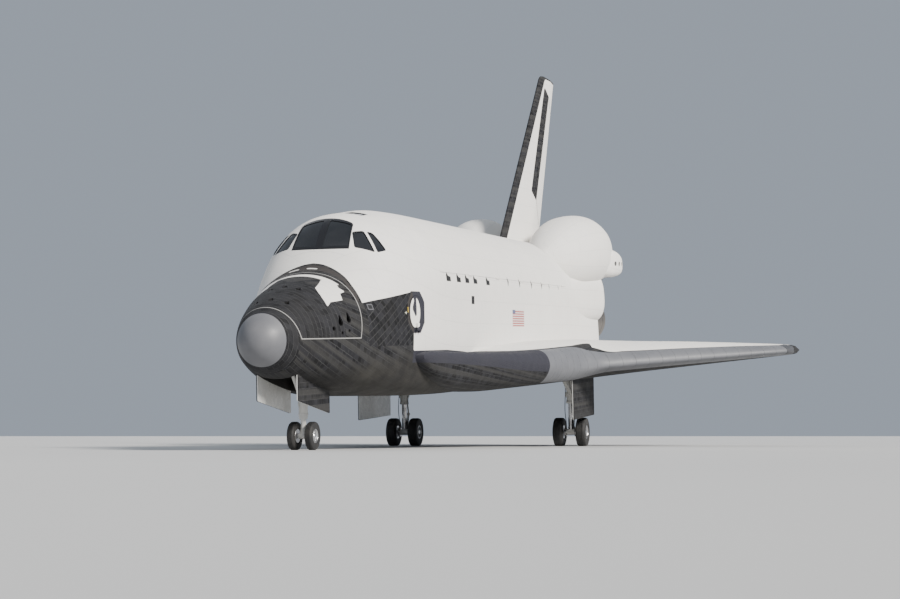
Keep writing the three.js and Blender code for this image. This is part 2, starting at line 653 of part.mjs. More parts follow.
function makePod() {
  const { gimbal, along } = POD_ENGINES.pod_engine_port;
  const recess = bar(
    gimbal.clone().addScaledVector(along, POD_BELL[0][0] - SEAT_GAP),
    gimbal.clone().addScaledVector(along, 3 * POD_BELL[0][0]),
    POD_BELL_WELL
  );
  return bulge(POD, 2.2)
    .add(bulge(POD_HOUSING, 3))
    .subtract(recess)
    .subtract(tailClear())
    .subtract(box(-FAR, FIN_CLEAR, 0, FAR, -FAR, FAR));
}

// Windows, each given by its four corners on the skin: x, aft, height.
const WINDOWS = {
  front: [[85, 4945, 4530], [870, 5120, 4555], [775, 5740, 5235], [85, 5760, 5385]],
  middle: [[1040, 5170, 4525], [1560, 5430, 4375], [1135, 5690, 5015], [870, 5480, 4985]],
  side: [[1635, 5500, 4390], [1785, 5830, 4465], [1370, 5870, 4950], [1225, 5765, 4995]],
  overhead: [[180, 6780, 5640], [700, 6780, 5560], [700, 7350, 5630], [180, 7350, 5715]],
};
const WINDOW_REACH = 420;
const GLASS = { recess: 15, inner: 65 };

function windowPrism(corners, shrink) {
  const points = corners.map(([x, y, z]) => at(x, y, z));
  const centre = points.reduce((sum, p) => sum.add(p), at(0, 0, 0)).multiplyScalar(1 / points.length);
  const diagonal = points[2].clone().sub(points[0]);
  const normal = diagonal.cross(points[3].clone().sub(points[1])).normalize();
  const pulled = points.map((p) => p.clone().addScaledVector(p.clone().sub(centre).normalize(), -shrink));
  const shifted = (by) => pulled.map((p) => p.clone().addScaledVector(normal, by));
  return loft([shifted(-WINDOW_REACH), shifted(WINDOW_REACH)], (p) => new THREE.Vector2(p.x, p.y));
}

// The side hatch has axes of its own: x straight out of the skin, y aft along it, z up.
const HATCH = {
  out: 2435, aft: 6640, height: 2600, splay: THREE.MathUtils.degToRad(9),
  radius: 500, clear: 10, inward: 900, outward: 600,
};
const HATCH_HINGE = { out: 75, drop: -520, radius: 34, half: 70, ear: 60 };
const hatchPlace = new THREE.Matrix4().makeRotationZ(-HATCH.splay);
hatchPlace.setPosition(HATCH.out, HATCH.aft, HATCH.height);
const onHatch = (form) => solid(geometryOf(form).applyMatrix4(hatchPlace));
const onHatchHinge = (along) => at(HATCH_HINGE.out, along, HATCH_HINGE.drop);
const hatchBarrel = (from, to) => bar(onHatchHinge(from), onHatchHinge(to), HATCH_HINGE.radius);
const hatchCone = (outward, inner, outer) =>
  bar(at(-HATCH.inward, 0, 0), at(outward, 0, 0), inner, outer, BELL_SIDES);

const CABIN = { front: 4700, back: 8480, floor: 900, deck: 3700, deckThick: 60 };
const glassShell = hull(-GLASS.recess)
  .subtract(hull(-GLASS.inner))
  .intersect(between(CABIN.front, CABIN.back));
const mirrored = (corners) => corners.map(([x, y, z]) => [-x, y, z]);

const cabinForm = (grow) =>
  hull(grow - CABIN_WALL).intersect(
    box(-FAR, FAR, CABIN.front - grow, CABIN.back + grow, CABIN.floor - grow, FAR)
  );

// The forward thruster module in the side view, as aft and height. Its upper corners are clear of the skin.
const RCS_MODULE = {
  foot: 1860,
  front: [[1005, 1860], [760, 2760], [640, 4500]],
  back: [[3900, 4500], [3820, 3700], [3500, 1860]],
};
function rcsBlock(grow) {
  const dropped = (height) => (height === RCS_MODULE.foot ? height - grow : height);
  const grown = (way) => ([aft, height]) => [aft + way * grow, dropped(height)];
  const outline = [...RCS_MODULE.front.map(grown(-1)), ...RCS_MODULE.back.map(grown(1))];
  return loft([-FAR, FAR].map((x) => outline.map(([y, z]) => at(x, y, z))), sideView);
}

function makeForwardFuselage() {
  let shell = fuselageForm
    .intersect(between(NOSE_CAP_END + SEAT_GAP, BAY_FRONT - SEAT_GAP))
    .subtract(rcsBlock(SEAT_GAP))
    .subtract(cabinForm(0))
    .subtract(box(-NOSE_WELL.half, NOSE_WELL.half, NOSE_WELL.front, NOSE_WELL.back, -FAR, NOSE_WELL.ceiling));
  for (const corners of Object.values(WINDOWS)) {
    shell = shell.subtract(windowPrism(corners, 0)).subtract(windowPrism(mirrored(corners), 0));
  }
  const { half, out, drop, ear } = HATCH_HINGE;
  const hole = HATCH.radius + HATCH.clear;
  shell = shell.subtract(onHatch(hatchCone(HATCH.outward, hole, hole)));
  for (const [from, to] of [[-half - ear, -half - SEAT_GAP], [half + SEAT_GAP, half + ear]]) {
    shell = shell.add(onHatch(box(out - 160, out, from, to, drop - 90, drop).add(hatchBarrel(from, to))));
  }
  return shell;
}

function makeHatch() {
  // A cone that is widest at the skin, so that the hatch swings out past its frame.
  const plug = hatchCone(300, HATCH.radius - 300, HATCH.radius + 100);
  const { half, out, drop } = HATCH_HINGE;
  const leaf = box(out - 30, out + 10, -half, half, drop, drop + 200);
  const foot = box(out - 110, out + 10, -half, half, drop + 90, drop + 200);
  return fuselageForm
    .subtract(hull(-CABIN_WALL))
    .intersect(onHatch(plug))
    .add(onHatch(join(leaf, foot, hatchBarrel(-half, half))));
}

const SEAT = { out: 560, half: 230, front: 6050, depth: 500, rise: 440, back: 1150, thick: 100 };
const CONSOLE = { half: 950, front: 5200, depth: 320, rise: 560 };
function makeFlightDeck() {
  const top = CABIN.deck + CABIN.deckThick;
  let deck = box(-FAR, FAR, CABIN.front, CABIN.back, CABIN.deck, top);
  for (const side of [-1, 1]) {
    const [from, to] = [side * SEAT.out - SEAT.half, side * SEAT.out + SEAT.half];
    const rear = SEAT.front + SEAT.depth;
    deck = deck
      .add(box(from, to, SEAT.front, rear, CABIN.deck, top + SEAT.rise))
      .add(box(from, to, rear - SEAT.thick, rear, CABIN.deck, top + SEAT.back));
  }
  const { half, front, depth, rise } = CONSOLE;
  const panel = box(-half, half, front, front + depth, CABIN.deck, top + rise);
  return deck.add(panel).intersect(cabinForm(-SEAT_GAP));
}

// The payload bay: an open trough under two doors hinged along its rims.
const bayForm = hull(0, BAY);
const DOOR_HINGE_OUT = 10; // how far the hinge line stands off the skin
const DOOR_BARREL = 30;
const DOOR_BARREL_LENGTH = 220;
const DOOR_BARRELS = [11900, 15500, 19100, 22700, 26300];
const doorHingeX = WING_ROOT * Math.sqrt(1 - ((DOOR_SPLIT - 3380) / (5945 - 3380)) ** 2) + DOOR_HINGE_OUT;
const onDoorHinge = (aft) => at(doorHingeX, aft, DOOR_SPLIT);
const doorBarrel = (from, radius, extra = 0) =>
  bar(onDoorHinge(from - extra), onDoorHinge(from + DOOR_BARREL_LENGTH + extra), radius);

function makeBayDoor() {
  const reach = RUN_GAP;
  let door = fuselageForm
    .subtract(bayForm)
    .intersect(box(reach / 2, FAR, BAY_FRONT + reach, BAY_BACK - reach, DOOR_SPLIT + 5, FAR));
  for (const start of DOOR_BARRELS) {
    const fixed = start + DOOR_BARREL_LENGTH + SEAT_GAP;
    door = door.subtract(doorBarrel(fixed, DOOR_BARREL + RUN_GAP, RUN_GAP));
    door = door.add(doorBarrel(start, DOOR_BARREL));
  }
  return door;
}

function makeMidFuselage() {
  let trough = fuselageForm
    .intersect(box(-FAR, FAR, BAY_FRONT, BAY_BACK, -FAR, DOOR_SPLIT - 5))
    .subtract(bayForm);
  for (const start of DOOR_BARRELS) {
    const notch = doorBarrel(start, DOOR_BARREL + RUN_GAP, RUN_GAP);
    const fixed = doorBarrel(start + DOOR_BARREL_LENGTH + SEAT_GAP, DOOR_BARREL);
    trough = trough.subtract(bothSides(notch)).add(bothSides(fixed));
  }
  return trough;
}

// Wheels: two tyres on one turning axle, drawn about its middle and then set on it.
const onAxle = (wheel, centre) => solid(wheel.rotateX(WHEEL_TURN).translate(centre.x, centre.y, centre.z));

function tyre({ radius, half, rim }, side, centre) {
  const inner = rim + SEAT_GAP;
  const outline = [
    [inner, -half * 0.8], [radius * 0.78, -half], [radius * 0.93, -half * 0.86], [radius, -half * 0.5],
    [radius, half * 0.5], [radius * 0.93, half * 0.86], [radius * 0.78, half], [inner, half * 0.8],
    [inner, -half * 0.8],
  ].map(([r, across]) => new THREE.Vector2(r, across));
  const geometry = new THREE.LatheGeometry(outline, WHEEL_SIDES).rotateZ(-Math.PI / 2);
  return onAxle(geometry.translate(side, 0, 0), centre);
}

function rims({ half, rim, spacing }, centre, axle) {
  const sideways = (from, to, radius, sides) => bar(at(from, 0, 0), at(to, 0, 0), radius, radius, sides);
  let wheels = pin(at(-spacing, 0, 0), at(spacing, 0, 0), axle);
  for (const side of [-1, 1]) {
    const face = side * (spacing + half * 0.85);
    const back = side * (spacing - half * 0.85);
    const dish = side * (spacing + half * 0.35);
    wheels = wheels
      .add(sideways(Math.min(face, back), Math.max(face, back), rim, WHEEL_SIDES))
      .subtract(sideways(Math.min(face * 1.2, dish), Math.max(face * 1.2, dish), rim * 0.82, WHEEL_SIDES))
      .add(sideways(Math.min(face, dish - side), Math.max(face, dish - side), rim * 0.35, ROUND));
  }
  return onAxle(geometryOf(wheels), centre);
}

const mainCentre = at(MAIN_GEAR_SPAN, MAIN_GEAR_AFT, MAIN_AXLE_HEIGHT);
const noseCentre = at(0, NOSE_GEAR_AFT, NOSE_AXLE_HEIGHT);
const MAIN_AXLE = 60;
const NOSE_AXLE = 45;

function makeMainLeg() {
  const { x, y, z } = mainCentre;
  const column = bar(at(x, y, MAIN_WELL.ceiling - SEAT_GAP), at(x, y, -850), 165);
  const piston = bar(at(x, y, -800), at(x, y, z), 105);
  const housing = bar(at(x - 235, y, z), at(x + 235, y, z), 120);
  const eye = bore(at(x - 300, y, z), at(x + 300, y, z), MAIN_AXLE);
  const trunnion = box(x - 620, x + 620, y - 110, y + 110, 620, 860);
  const brace = bar(at(x, y, -500), at(x, y - 2400, MAIN_WELL.ceiling - 260), 85);
  const ceiling = MAIN_WELL.ceiling;
  const braceHead = box(x - 160, x + 160, y - 2560, y - 2240, ceiling - 380, ceiling - SEAT_GAP);
  const kneeAt = at(x, y + 430, -1270);
  const upperLink = bar(at(x, y + 120, -760), kneeAt, 50);
  const lowerLink = bar(at(x, y + 60, -1800), kneeAt, 50);
  const knee = bar(at(x - 80, kneeAt.y, kneeAt.z), at(x + 80, kneeAt.y, kneeAt.z), 62);
  return join(column, piston, housing, trunnion, brace, braceHead, upperLink, lowerLink, knee).subtract(eye);
}

const STEER = { top: 150, sleeveFoot: -330, piston: 78 };
function makeNoseLeg() {
  const { x, y } = noseCentre;
  const column = bar(at(x, y, NOSE_WELL.ceiling - SEAT_GAP), at(x, y, STEER.sleeveFoot), 130);
  const sleeve = bore(at(x, y, STEER.top + 10), at(x, y, STEER.sleeveFoot - 50), STEER.piston);
  const trunnion = box(-NOSE_WELL.half + 60, NOSE_WELL.half - 60, y - 80, y + 80, 1000, 1180);
  const brace = bar(at(x, y, 0), at(x, y - 1250, NOSE_WELL.ceiling - 120), 60);
  const ceiling = NOSE_WELL.ceiling;
  const braceHead = box(-110, 110, y - 1380, y - 1120, ceiling - 230, ceiling - SEAT_GAP);
  return join(column, trunnion, brace, braceHead).subtract(sleeve);
}

function makeNoseFork() {
  const { x, y, z } = noseCentre;
  const piston = pin(at(x, y, STEER.top), at(x, y, z), STEER.piston);
  const collar = bar(at(x, y, STEER.sleeveFoot - SEAT_GAP), at(x, y, STEER.sleeveFoot - 90), 125);
  const housing = bar(at(-140, y, z), at(140, y, z), 90);
  const eye = bore(at(-200, y, z), at(200, y, z), NOSE_AXLE);
  return join(piston, collar, housing).subtract(eye);
}

const DOOR_PLATE = 50;
function makeNoseGearDoor() {
  const { half, front, back } = NOSE_WELL;
  const outline = [[front, 170], [back, -280], [back, 1300], [front, 1300]];
  const ring = (x) => outline.map(([y, z]) => at(x, y, z));
  return loft([ring(half + 10), ring(half + 10 + DOOR_PLATE)], sideView)
    .subtract(fuselageClear)
    .subtract(box(-FAR, FAR, front - 10, back + 10, 900, FAR));
}

const wingForm = makeWing();
function makeMainGearDoor() {
  const { outer, front, back } = MAIN_WELL;
  const plate = box(outer + 10, outer + 10 + DOOR_PLATE, front + 10, back - 10, -1330, 500);
  const lowered = WING.map(wingRing).map((ring) => ring.map((p) => at(p.x, p.y, p.z - SEAT_GAP)));
  const above = loft(lowered, sideView);
  return plate.subtract(above).subtract(box(-FAR, FAR, 0, FAR, 400, FAR));
}

// Materials, named by what they are in the real vehicle.
const material = (color, roughness, metalness = 0) =>
  new THREE.MeshStandardMaterial({ color, roughness, metalness });
const WHITE_TILE = material(0xe9e8e4, 0.75);
const WHITE_BLANKET = material(0xe2e0db, 0.9);
const BLACK_TILE = material(0x2b2b2e, 0.7);
const GREY_CARBON = material(0x83868d, 0.45);
const EDGE_CARBON = material(0xa7abb3, 0.4);
const GLASS_PANE = material(0x15171b, 0.08);
const DARK_METAL = material(0x55504a, 0.4, 0.9);
const LEG_PAINT = material(0xd7d8d6, 0.35);
const STEEL = material(0x9a9da1, 0.3, 0.9);
const RUBBER = material(0x1c1c1d, 0.85);
const CABIN_GREY = material(0x7d8285, 0.6);

const shuttle = new THREE.Group();
const PORT_AND_STARBOARD = { port: 1, starboard: -1 };

function place(name, form, finish, side = 1) {
  const mesh = new THREE.Mesh(geometryOf(form), finish);
  mesh.name = name;
  mesh.scale.x = side;
  shuttle.add(mesh);
}

function placePair(stem, form, finish) {
  for (const [word, side] of Object.entries(PORT_AND_STARBOARD)) place(stem + "_" + word, form, finish, side);
}

place("nose_cap", fuselageForm.intersect(between(-FAR, NOSE_CAP_END)), GREY_CARBON);
place("forward_fuselage", makeForwardFuselage(), WHITE_TILE);
place("forward_thruster_module", fuselageForm.intersect(rcsBlock(0)), BLACK_TILE);
place("side_hatch", makeHatch(), WHITE_TILE);
for (const [which, corners] of Object.entries(WINDOWS)) {
  placePair("window_" + which, glassShell.intersect(windowPrism(corners, 1)), GLASS_PANE);
}
place("flight_deck", makeFlightDeck(), CABIN_GREY);
place("mid_fuselage", makeMidFuselage(), WHITE_BLANKET);
placePair("payload_door", makeBayDoor(), WHITE_BLANKET);
place("aft_fuselage", makeAftFuselage(), WHITE_TILE);
placePair("engine_pod", makePod(), WHITE_BLANKET);
for (const [name, engine] of Object.entries(ENGINES)) place(name, bell(MAIN_BELL, 60, engine), DARK_METAL);
placePair("pod_engine", bell(POD_BELL, 35, POD_ENGINES.pod_engine_port), DARK_METAL);
placePair("wing", wingForm, WHITE_BLANKET);
placePair("leading_edge", makeLeadingEdge(), EDGE_CARBON);
for (const [which, span] of Object.entries(ELEVON_SPANS)) {
  placePair("elevon_" + which, makeElevon(span), WHITE_TILE);
}
place("body_flap", makeBodyFlap(), BLACK_TILE);
place("fin", makeFin(), WHITE_TILE);
place("rudder_tube", makeRudderTube(), STEEL);
place("speed_brake_port", makeSpeedBrake(COLLARS.port, COLLARS.starboard), WHITE_TILE);
place("speed_brake_starboard", makeSpeedBrake(COLLARS.starboard, COLLARS.port), WHITE_TILE, -1);
place("nose_leg", makeNoseLeg(), LEG_PAINT);
place("nose_fork", makeNoseFork(), LEG_PAINT);
place("nose_wheel_rims", rims(NOSE_TYRE, noseCentre, NOSE_AXLE), STEEL);
for (const [word, side] of Object.entries(PORT_AND_STARBOARD)) {
  place("nose_tyre_" + word, tyre(NOSE_TYRE, side * NOSE_TYRE.spacing, noseCentre), RUBBER);
}
placePair("nose_gear_door", makeNoseGearDoor(), BLACK_TILE);
placePair("main_leg", makeMainLeg(), LEG_PAINT);
placePair("main_wheel_rims", rims(MAIN_TYRE, mainCentre, MAIN_AXLE), STEEL);
placePair("main_tyre_inner", tyre(MAIN_TYRE, -MAIN_TYRE.spacing, mainCentre), RUBBER);
placePair("main_tyre_outer", tyre(MAIN_TYRE, MAIN_TYRE.spacing, mainCentre), RUBBER);
placePair("main_gear_door", makeMainGearDoor(), BLACK_TILE);
for (const [name, fitting] of Object.entries(FITTINGS)) place(name, makeFitting(fitting), STEEL);

// Stand the shuttle on its wheels, with the origin on the floor under the middle of its box.
shuttle.rotation.x = STANDING_PITCH;
shuttle.updateMatrixWorld(true);
const bounds = new THREE.Box3().setFromObject(shuttle, true);
const middle = bounds.getCenter(new THREE.Vector3());
shuttle.position.set(0, -middle.y, -bounds.min.z);

export default shuttle;
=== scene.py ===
"""A winged space shuttle on its landing gear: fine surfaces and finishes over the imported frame.

Forms are drawn in metres in the airframe's own axes: x to port, y aft of the nose tip, z above the
flat belly. They are cut and joined there, and turned into the frame's axes as they become pieces.
"""
import math

import bpy
import numpy as np
from mathutils import Matrix, Vector


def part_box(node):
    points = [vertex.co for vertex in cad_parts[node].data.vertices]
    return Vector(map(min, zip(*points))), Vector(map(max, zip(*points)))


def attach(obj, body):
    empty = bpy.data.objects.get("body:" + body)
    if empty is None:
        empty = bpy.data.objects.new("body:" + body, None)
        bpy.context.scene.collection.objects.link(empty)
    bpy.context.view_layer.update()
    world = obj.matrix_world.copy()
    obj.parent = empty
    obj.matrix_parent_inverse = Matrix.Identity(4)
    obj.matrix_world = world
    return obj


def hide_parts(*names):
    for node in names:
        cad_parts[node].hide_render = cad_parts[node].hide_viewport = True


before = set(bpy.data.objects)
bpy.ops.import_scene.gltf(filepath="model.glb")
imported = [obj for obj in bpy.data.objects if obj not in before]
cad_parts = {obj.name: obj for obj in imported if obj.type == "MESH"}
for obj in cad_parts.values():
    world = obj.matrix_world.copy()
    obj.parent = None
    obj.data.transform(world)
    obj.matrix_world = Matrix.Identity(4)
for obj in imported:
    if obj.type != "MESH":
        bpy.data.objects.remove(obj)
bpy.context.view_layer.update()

# Driving dimensions, in metres
PITCH = math.radians(3.5)  # nose down on its wheels
SEAM = 0.004  # half the gap between panels
NOSE_CAP_END = 0.510
BAY_FRONT = 8.790
BAY_BACK = 27.205
TAIL_END = 32.870
DOOR_SPLIT = 3.885
CABIN_WALL = 0.150
WING_ROOT = 2.667
WING_TIP = 11.890
WING_HEIGHT = 0.508
DIHEDRAL = math.radians(3.5)
ELEVON_HINGE = 29.235
ROOT_TRAIL = 32.273
TRAIL_SWEEP = 0.1773
HINGE_HALF = (0.290, 0.115)  # half thickness at the elevon hinge, root and tip
ELEVON_SPANS = {"inboard": (0.310, 5.190), "outboard": (5.350, 9.020)}
EDGE_START = 4.250
EDGE_DEPTH = 0.420
FIN_BASE, FIN_ROOT, FIN_TIP = 5.700, 5.994, 14.013
FIN_LEAD = 26.540
FIN_CHORD = (6.820, 2.755)
FIN_HALF = (0.357, 0.144)
FIN_HINGE_SHARE = 0.6
FIN_NOSE = {"half": 0.060, "depth": 0.090}
RUDDER_SWEEP = math.radians(34.83)
RUDDER_FOOT = 7.975
RUDDER_LENGTH = 6.220
RUDDER_CHORD = (2.110, 1.170)
RUDDER_HALF = (0.305, 0.169)
FLAP_HINGE, FLAP_HEIGHT, FLAP_END = 32.918, 0.508, 34.976
FLAP_HALF_SPAN, FLAP_NOSE = 3.010, 0.250
MAIN_AXLE = Vector((3.459, 23.774, -1.981))
MAIN_TYRE = {"radius": 0.565, "half": 0.203, "rim": 0.267, "spacing": 0.460}
NOSE_TYRE = {"radius": 0.406, "half": 0.112, "rim": 0.203, "spacing": 0.270}
MAIN_WELL = {"inner": 2.800, "outer": 4.230, "front": 20.420, "back": 24.360, "ceiling": 1.000}
NOSE_WELL = {"half": 0.560, "front": 1.560, "back": 4.000, "ceiling": 1.500}
FAR = 60.0
SIDES = (("port", 1), ("starboard", -1))
NEAR_NOSE = 0.6  # stations lie closer from here forward
FIRST_ROOT = 0.00004

# The airframe's place in the frame, from the port main wheels and the standing pitch
TURN = Matrix.Rotation(PITCH, 4, "X")


def blend(ends, share):
    """The value a share of the way from the first of two to the second."""
    return ends[0] + (ends[1] - ends[0]) * share


def round_turns(count, first=0.0):
    return (np.arange(count) + first) / count * 2 * math.pi


def node_middle(node):
    low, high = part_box(node)
    return (Vector(low) + Vector(high)) / 2


AIRFRAME = Matrix.Translation(node_middle("main_wheel_rims_port") - TURN @ MAIN_AXLE) @ TURN
NOSE_AXLE = AIRFRAME.inverted() @ node_middle("nose_wheel_rims")


# Forms: closed meshes that can be cut, joined and met
class Form:
    def __init__(self, points, faces=None, mesh=None):
        if mesh is None:
            mesh = bpy.data.meshes.new("form")
            mesh.from_pydata(np.asarray(points, float).tolist(), [], faces)
            mesh.update()
            if volume(mesh) < 0:
                mesh.flip_normals()
        self.object = bpy.data.objects.new("form", mesh)
        bpy.context.scene.collection.objects.link(self.object)
        forms.append(self.object)

    def _combined(self, operation, others):
        for other in others:
            step = self.object.modifiers.new("step", "BOOLEAN")
            step.operation = operation
            step.solver = "MANIFOLD"
            step.object = other.object
        bpy.context.view_layer.update()
        graph = bpy.context.evaluated_depsgraph_get()
        mesh = bpy.data.meshes.new_from_object(self.object.evaluated_get(graph))
        self.object.modifiers.clear()
        return Form(None, mesh=mesh)

    def cut(self, *others):
        return self._combined("DIFFERENCE", others)

    def join(self, *others):
        return self._combined("UNION", others)

    def meet(self, *others):
        return self._combined("INTERSECT", others)

    def moved(self, matrix):
        mesh = self.object.data.copy()
        mesh.transform(matrix)
        if matrix.determinant() < 0:
            mesh.flip_normals()
        return Form(None, mesh=mesh)

    def flipped(self):
        return self.moved(Matrix.Diagonal((-1, 1, 1, 1)))

    def both(self):
        return self.join(self.flipped())


forms = []


def joined(parts):
    return parts[0].join(*parts[1:])


def volume(mesh):
    mesh.calc_loop_triangles()
    corners = np.empty(len(mesh.loop_triangles) * 3, int)
    mesh.loop_triangles.foreach_get("vertices", corners)
    a, b, c = positions(mesh)[corners].reshape(-1, 3, 3).transpose(1, 0, 2)
    return float(np.einsum("ij,ij->i", a, np.cross(b, c)).sum())


def positions(mesh):
    flat = np.empty(len(mesh.vertices) * 3)
    mesh.vertices.foreach_get("co", flat)
    return flat.reshape(-1, 3)


def loft(rings, looped=False):
    """A closed form through rings of points, with filled ends, or looped back to its first ring."""
    rings = np.asarray(rings, float)
    rows, count, _ = rings.shape
    steps = np.arange(rows if looped else rows - 1)[:, None] * count
    here = (steps + np.arange(count)).ravel()
    side = (steps + (np.arange(count) + 1) % count).ravel()
    total = rows * count
    faces = np.stack([here, side, (side + count) % total, (here + count) % total], 1).tolist()
    if not looped:
        faces.append(list(range(count))[::-1])
        faces.append([(rows - 1) * count + i for i in range(count)])
    return Form(rings.reshape(-1, 3), faces)


def box(x0, x1, y0, y1, z0, z1):
    ring = [(x0, z0), (x1, z0), (x1, z1), (x0, z1)]
    return loft([[(x, y, z) for x, z in ring] for y in (y0, y1)])


def between(front, back):
    return box(-FAR, FAR, front, back, -FAR, FAR)


def space_above(height):
    return box(-FAR, FAR, 0, FAR, height, FAR)


def frame_along(start, end):
    """A turn that takes +Z to the way from start to end, placed at start."""
    way = Vector(end) - Vector(start)
    return Matrix.Translation(start) @ way.to_track_quat("Z", "Y").to_matrix().to_4x4()


def lathe(profile, start, end, sides=48, looped=False):
    """A round form about the way from start to end. The profile holds (distance along, radius)."""
    place = frame_along(start, end)
    turns = round_turns(sides)
    rings = [[place @ Vector((r * math.cos(t), r * math.sin(t), d)) for t in turns] for d, r in profile]
    return loft(rings, looped)


def bar(start, end, radius, end_radius=None, sides=32):
    length = (Vector(end) - Vector(start)).length
    return lathe([(0, radius), (length, radius if end_radius is None else end_radius)], start, end, sides)


def rounded_bar(start, end, radius, bevel=0.012, sides=32):
    length = (Vector(end) - Vector(start)).length
    profile = [(0, radius - bevel), (bevel, radius), (length - bevel, radius), (length, radius - bevel)]
    return lathe(profile, start, end, sides)


def crosswise(middle, half, radius, bevel=0, sides=32):
    """A bar from side to side, with bevelled ends where a bevel is given."""
    x, y, z = middle
    start, end = (x - half, y, z), (x + half, y, z)
    return rounded_bar(start, end, radius, bevel, sides) if bevel else bar(start, end, radius, sides=sides)


# Curves through the rows of a table
def pchip(x, y, at):
    """Values at `at` of the smooth curve through (x, y) that never overshoots."""
    x, y = np.asarray(x, float), np.asarray(y, float)
    step = np.diff(x)
    slope = np.diff(y) / step
    tangent = np.zeros_like(y)
    same = slope[:-1] * slope[1:] > 0
    wide, narrow = 2 * step[1:] + step[:-1], step[1:] + 2 * step[:-1]
    with np.errstate(divide="ignore", invalid="ignore"):
        harmonic = (wide + narrow) / (wide / slope[:-1] + narrow / slope[1:])
    tangent[1:-1] = np.where(same, harmonic, 0)
    tangent[0], tangent[-1] = slope[0], slope[-1]
    at = np.clip(at, x[0], x[-1])
    i = np.clip(np.searchsorted(x, at) - 1, 0, len(x) - 2)
    t = (at - x[i]) / step[i]
    return (
        y[i] * (1 + 2 * t) * (1 - t) ** 2
        + tangent[i] * step[i] * t * (1 - t) ** 2
        + y[i + 1] * t**2 * (3 - 2 * t)
        + tangent[i + 1] * step[i] * t**2 * (t - 1)
    )


def softened(values, width):
    reach = np.arange(-3 * width, 3 * width + 1)
    kernel = np.exp(-0.5 * (reach / width) ** 2)
    padded = np.pad(values, 3 * width, mode="reflect", reflect_type="odd")
    return np.convolve(padded, kernel / kernel.sum(), "valid")


# The fuselage: sections of two half superellipses that meet at the waist
FUSELAGE = np.array([
    # aft, top, bottom, half width, waist height, upper power, lower power
    (0, 1.840, 1.815, 0.015, 1.830, 2, 2),
    (0.075, 2.135, 1.525, 0.305, 1.830, 2, 2),
    (0.205, 2.325, 1.335, 0.495, 1.830, 2, 2),
    (0.510, 2.565, 1.120, 0.710, 1.830, 2, 2),
    (0.990, 2.845, 0.925, 0.950, 1.830, 2, 2.1),
    (1.625, 3.110, 0.760, 1.195, 1.855, 2, 2.2),
    (2.895, 3.520, 0.520, 1.615, 1.930, 2.05, 2.5),
    (4.165, 3.880, 0.330, 1.955, 2.110, 2.1, 3.0),
    (4.640, 4.150, 0.285, 2.070, 2.200, 2.1, 3.2),
    (4.930, 4.520, 0.255, 2.135, 2.260, 2.1, 3.4),
    (5.565, 5.270, 0.205, 2.260, 2.415, 2.1, 3.8),
    (5.950, 5.520, 0.170, 2.330, 2.530, 2.1, 4.0),
    (6.400, 5.620, 0.140, 2.410, 2.690, 2.1, 4.4),
    (7.720, 5.780, 0.075, 2.580, 3.125, 2.05, 5.6),
    (BAY_FRONT, 5.900, 0.040, 2.640, 3.325, 2, 7),
    (11.785, 5.945, 0, WING_ROOT, 3.380, 2, 8),
    (BAY_BACK, 5.945, 0, WING_ROOT, 3.380, 2, 8),
    (29.000, 5.940, 0.010, 2.700, 3.380, 2.1, 8),
    (TAIL_END, 5.865, 0.180, 2.930, 3.325, 2.4, 8),
])
# The rows are read along the square root of the way aft, in which the blunt nose is nearly straight.
ROOTS = np.linspace(0, math.sqrt(TAIL_END), 1200)
SOFT_STEPS = 7
SECTIONS = np.stack(
    [softened(pchip(np.sqrt(FUSELAGE[:, 0]), FUSELAGE[:, k], ROOTS), SOFT_STEPS) for k in range(1, 7)], 1
)
BAY = (5.690, 1.090, 2.330, 3.380, 2, 2.8)  # the bay's lining, as the same columns without aft
BAY_GIRTH, POD_GIRTH = 2.3, 1.5  # metres round them for each radian
HALF_POINTS = 84  # round half a fuselage section


def section_at(aft):
    root = math.sqrt(max(aft, 0))
    return [float(np.interp(root, ROOTS, SECTIONS[:, k])) for k in range(6)]


def radius_at(across, up, half, reach, power):
    """How far a superellipse reaches in the way that these shares across and up give."""
    return ((across / half) ** power + (up / reach) ** power) ** (-1 / power)


def half_outline(section, grow=0.0, samples=160):
    """The port half of a section from the top middle to the bottom middle, as x and z."""
    top, bottom, half, waist, upper, lower = section
    turn = np.linspace(math.pi / 2, -math.pi / 2, 2 * samples + 1)
    across, up = np.abs(np.cos(turn)), np.abs(np.sin(turn))
    power = np.where(turn >= 0, upper, lower)
    reach = np.where(turn >= 0, top - waist, waist - bottom) + grow
    radius = radius_at(across, up, half + grow, reach, power)
    return radius * np.cos(turn), waist + radius * np.sin(turn)


def girth_steps(x, z):
    """The way gone along a line at each of its points."""
    return np.concatenate([[0], np.cumsum(np.hypot(np.diff(x), np.diff(z)))])


def section_ring(section, aft, grow=0.0, points=HALF_POINTS, out=0.0):
    x, z = half_outline(section, grow)
    gone = girth_steps(x, z)
    even = np.linspace(0, gone[-1], points + 1)
    x, z = np.interp(even, gone, x), np.interp(even, gone, z)
    x[0] = x[-1] = 0
    port = np.stack([x + out, np.full_like(x, aft), z], 1)
    starboard = port[-2:0:-1] * (-1, 1, 1) + (2 * out, 0, 0)
    return np.concatenate([port, starboard])


def stations(front, back, step):
    """Stations along the body that lie closer towards the blunt nose."""
    if front < NEAR_NOSE:
        count = max(12, int(4 * (back - front) / step))
        return np.linspace(math.sqrt(max(front, FIRST_ROOT)), math.sqrt(back), count) ** 2
    return np.linspace(front, back, max(2, int(round((back - front) / step)) + 1))


def hull(front, back, grow=0.0, step=0.09, points=HALF_POINTS):
    return loft([section_ring(section_at(a), a, grow, points) for a in stations(front, back, step)])


def skin_band(front, back, outer, inner):
    """The room between two offsets of the fuselage, each given as grow, step and points."""
    return hull(front, back, *outer).cut(hull(front - 0.1, back + 0.1, *inner))


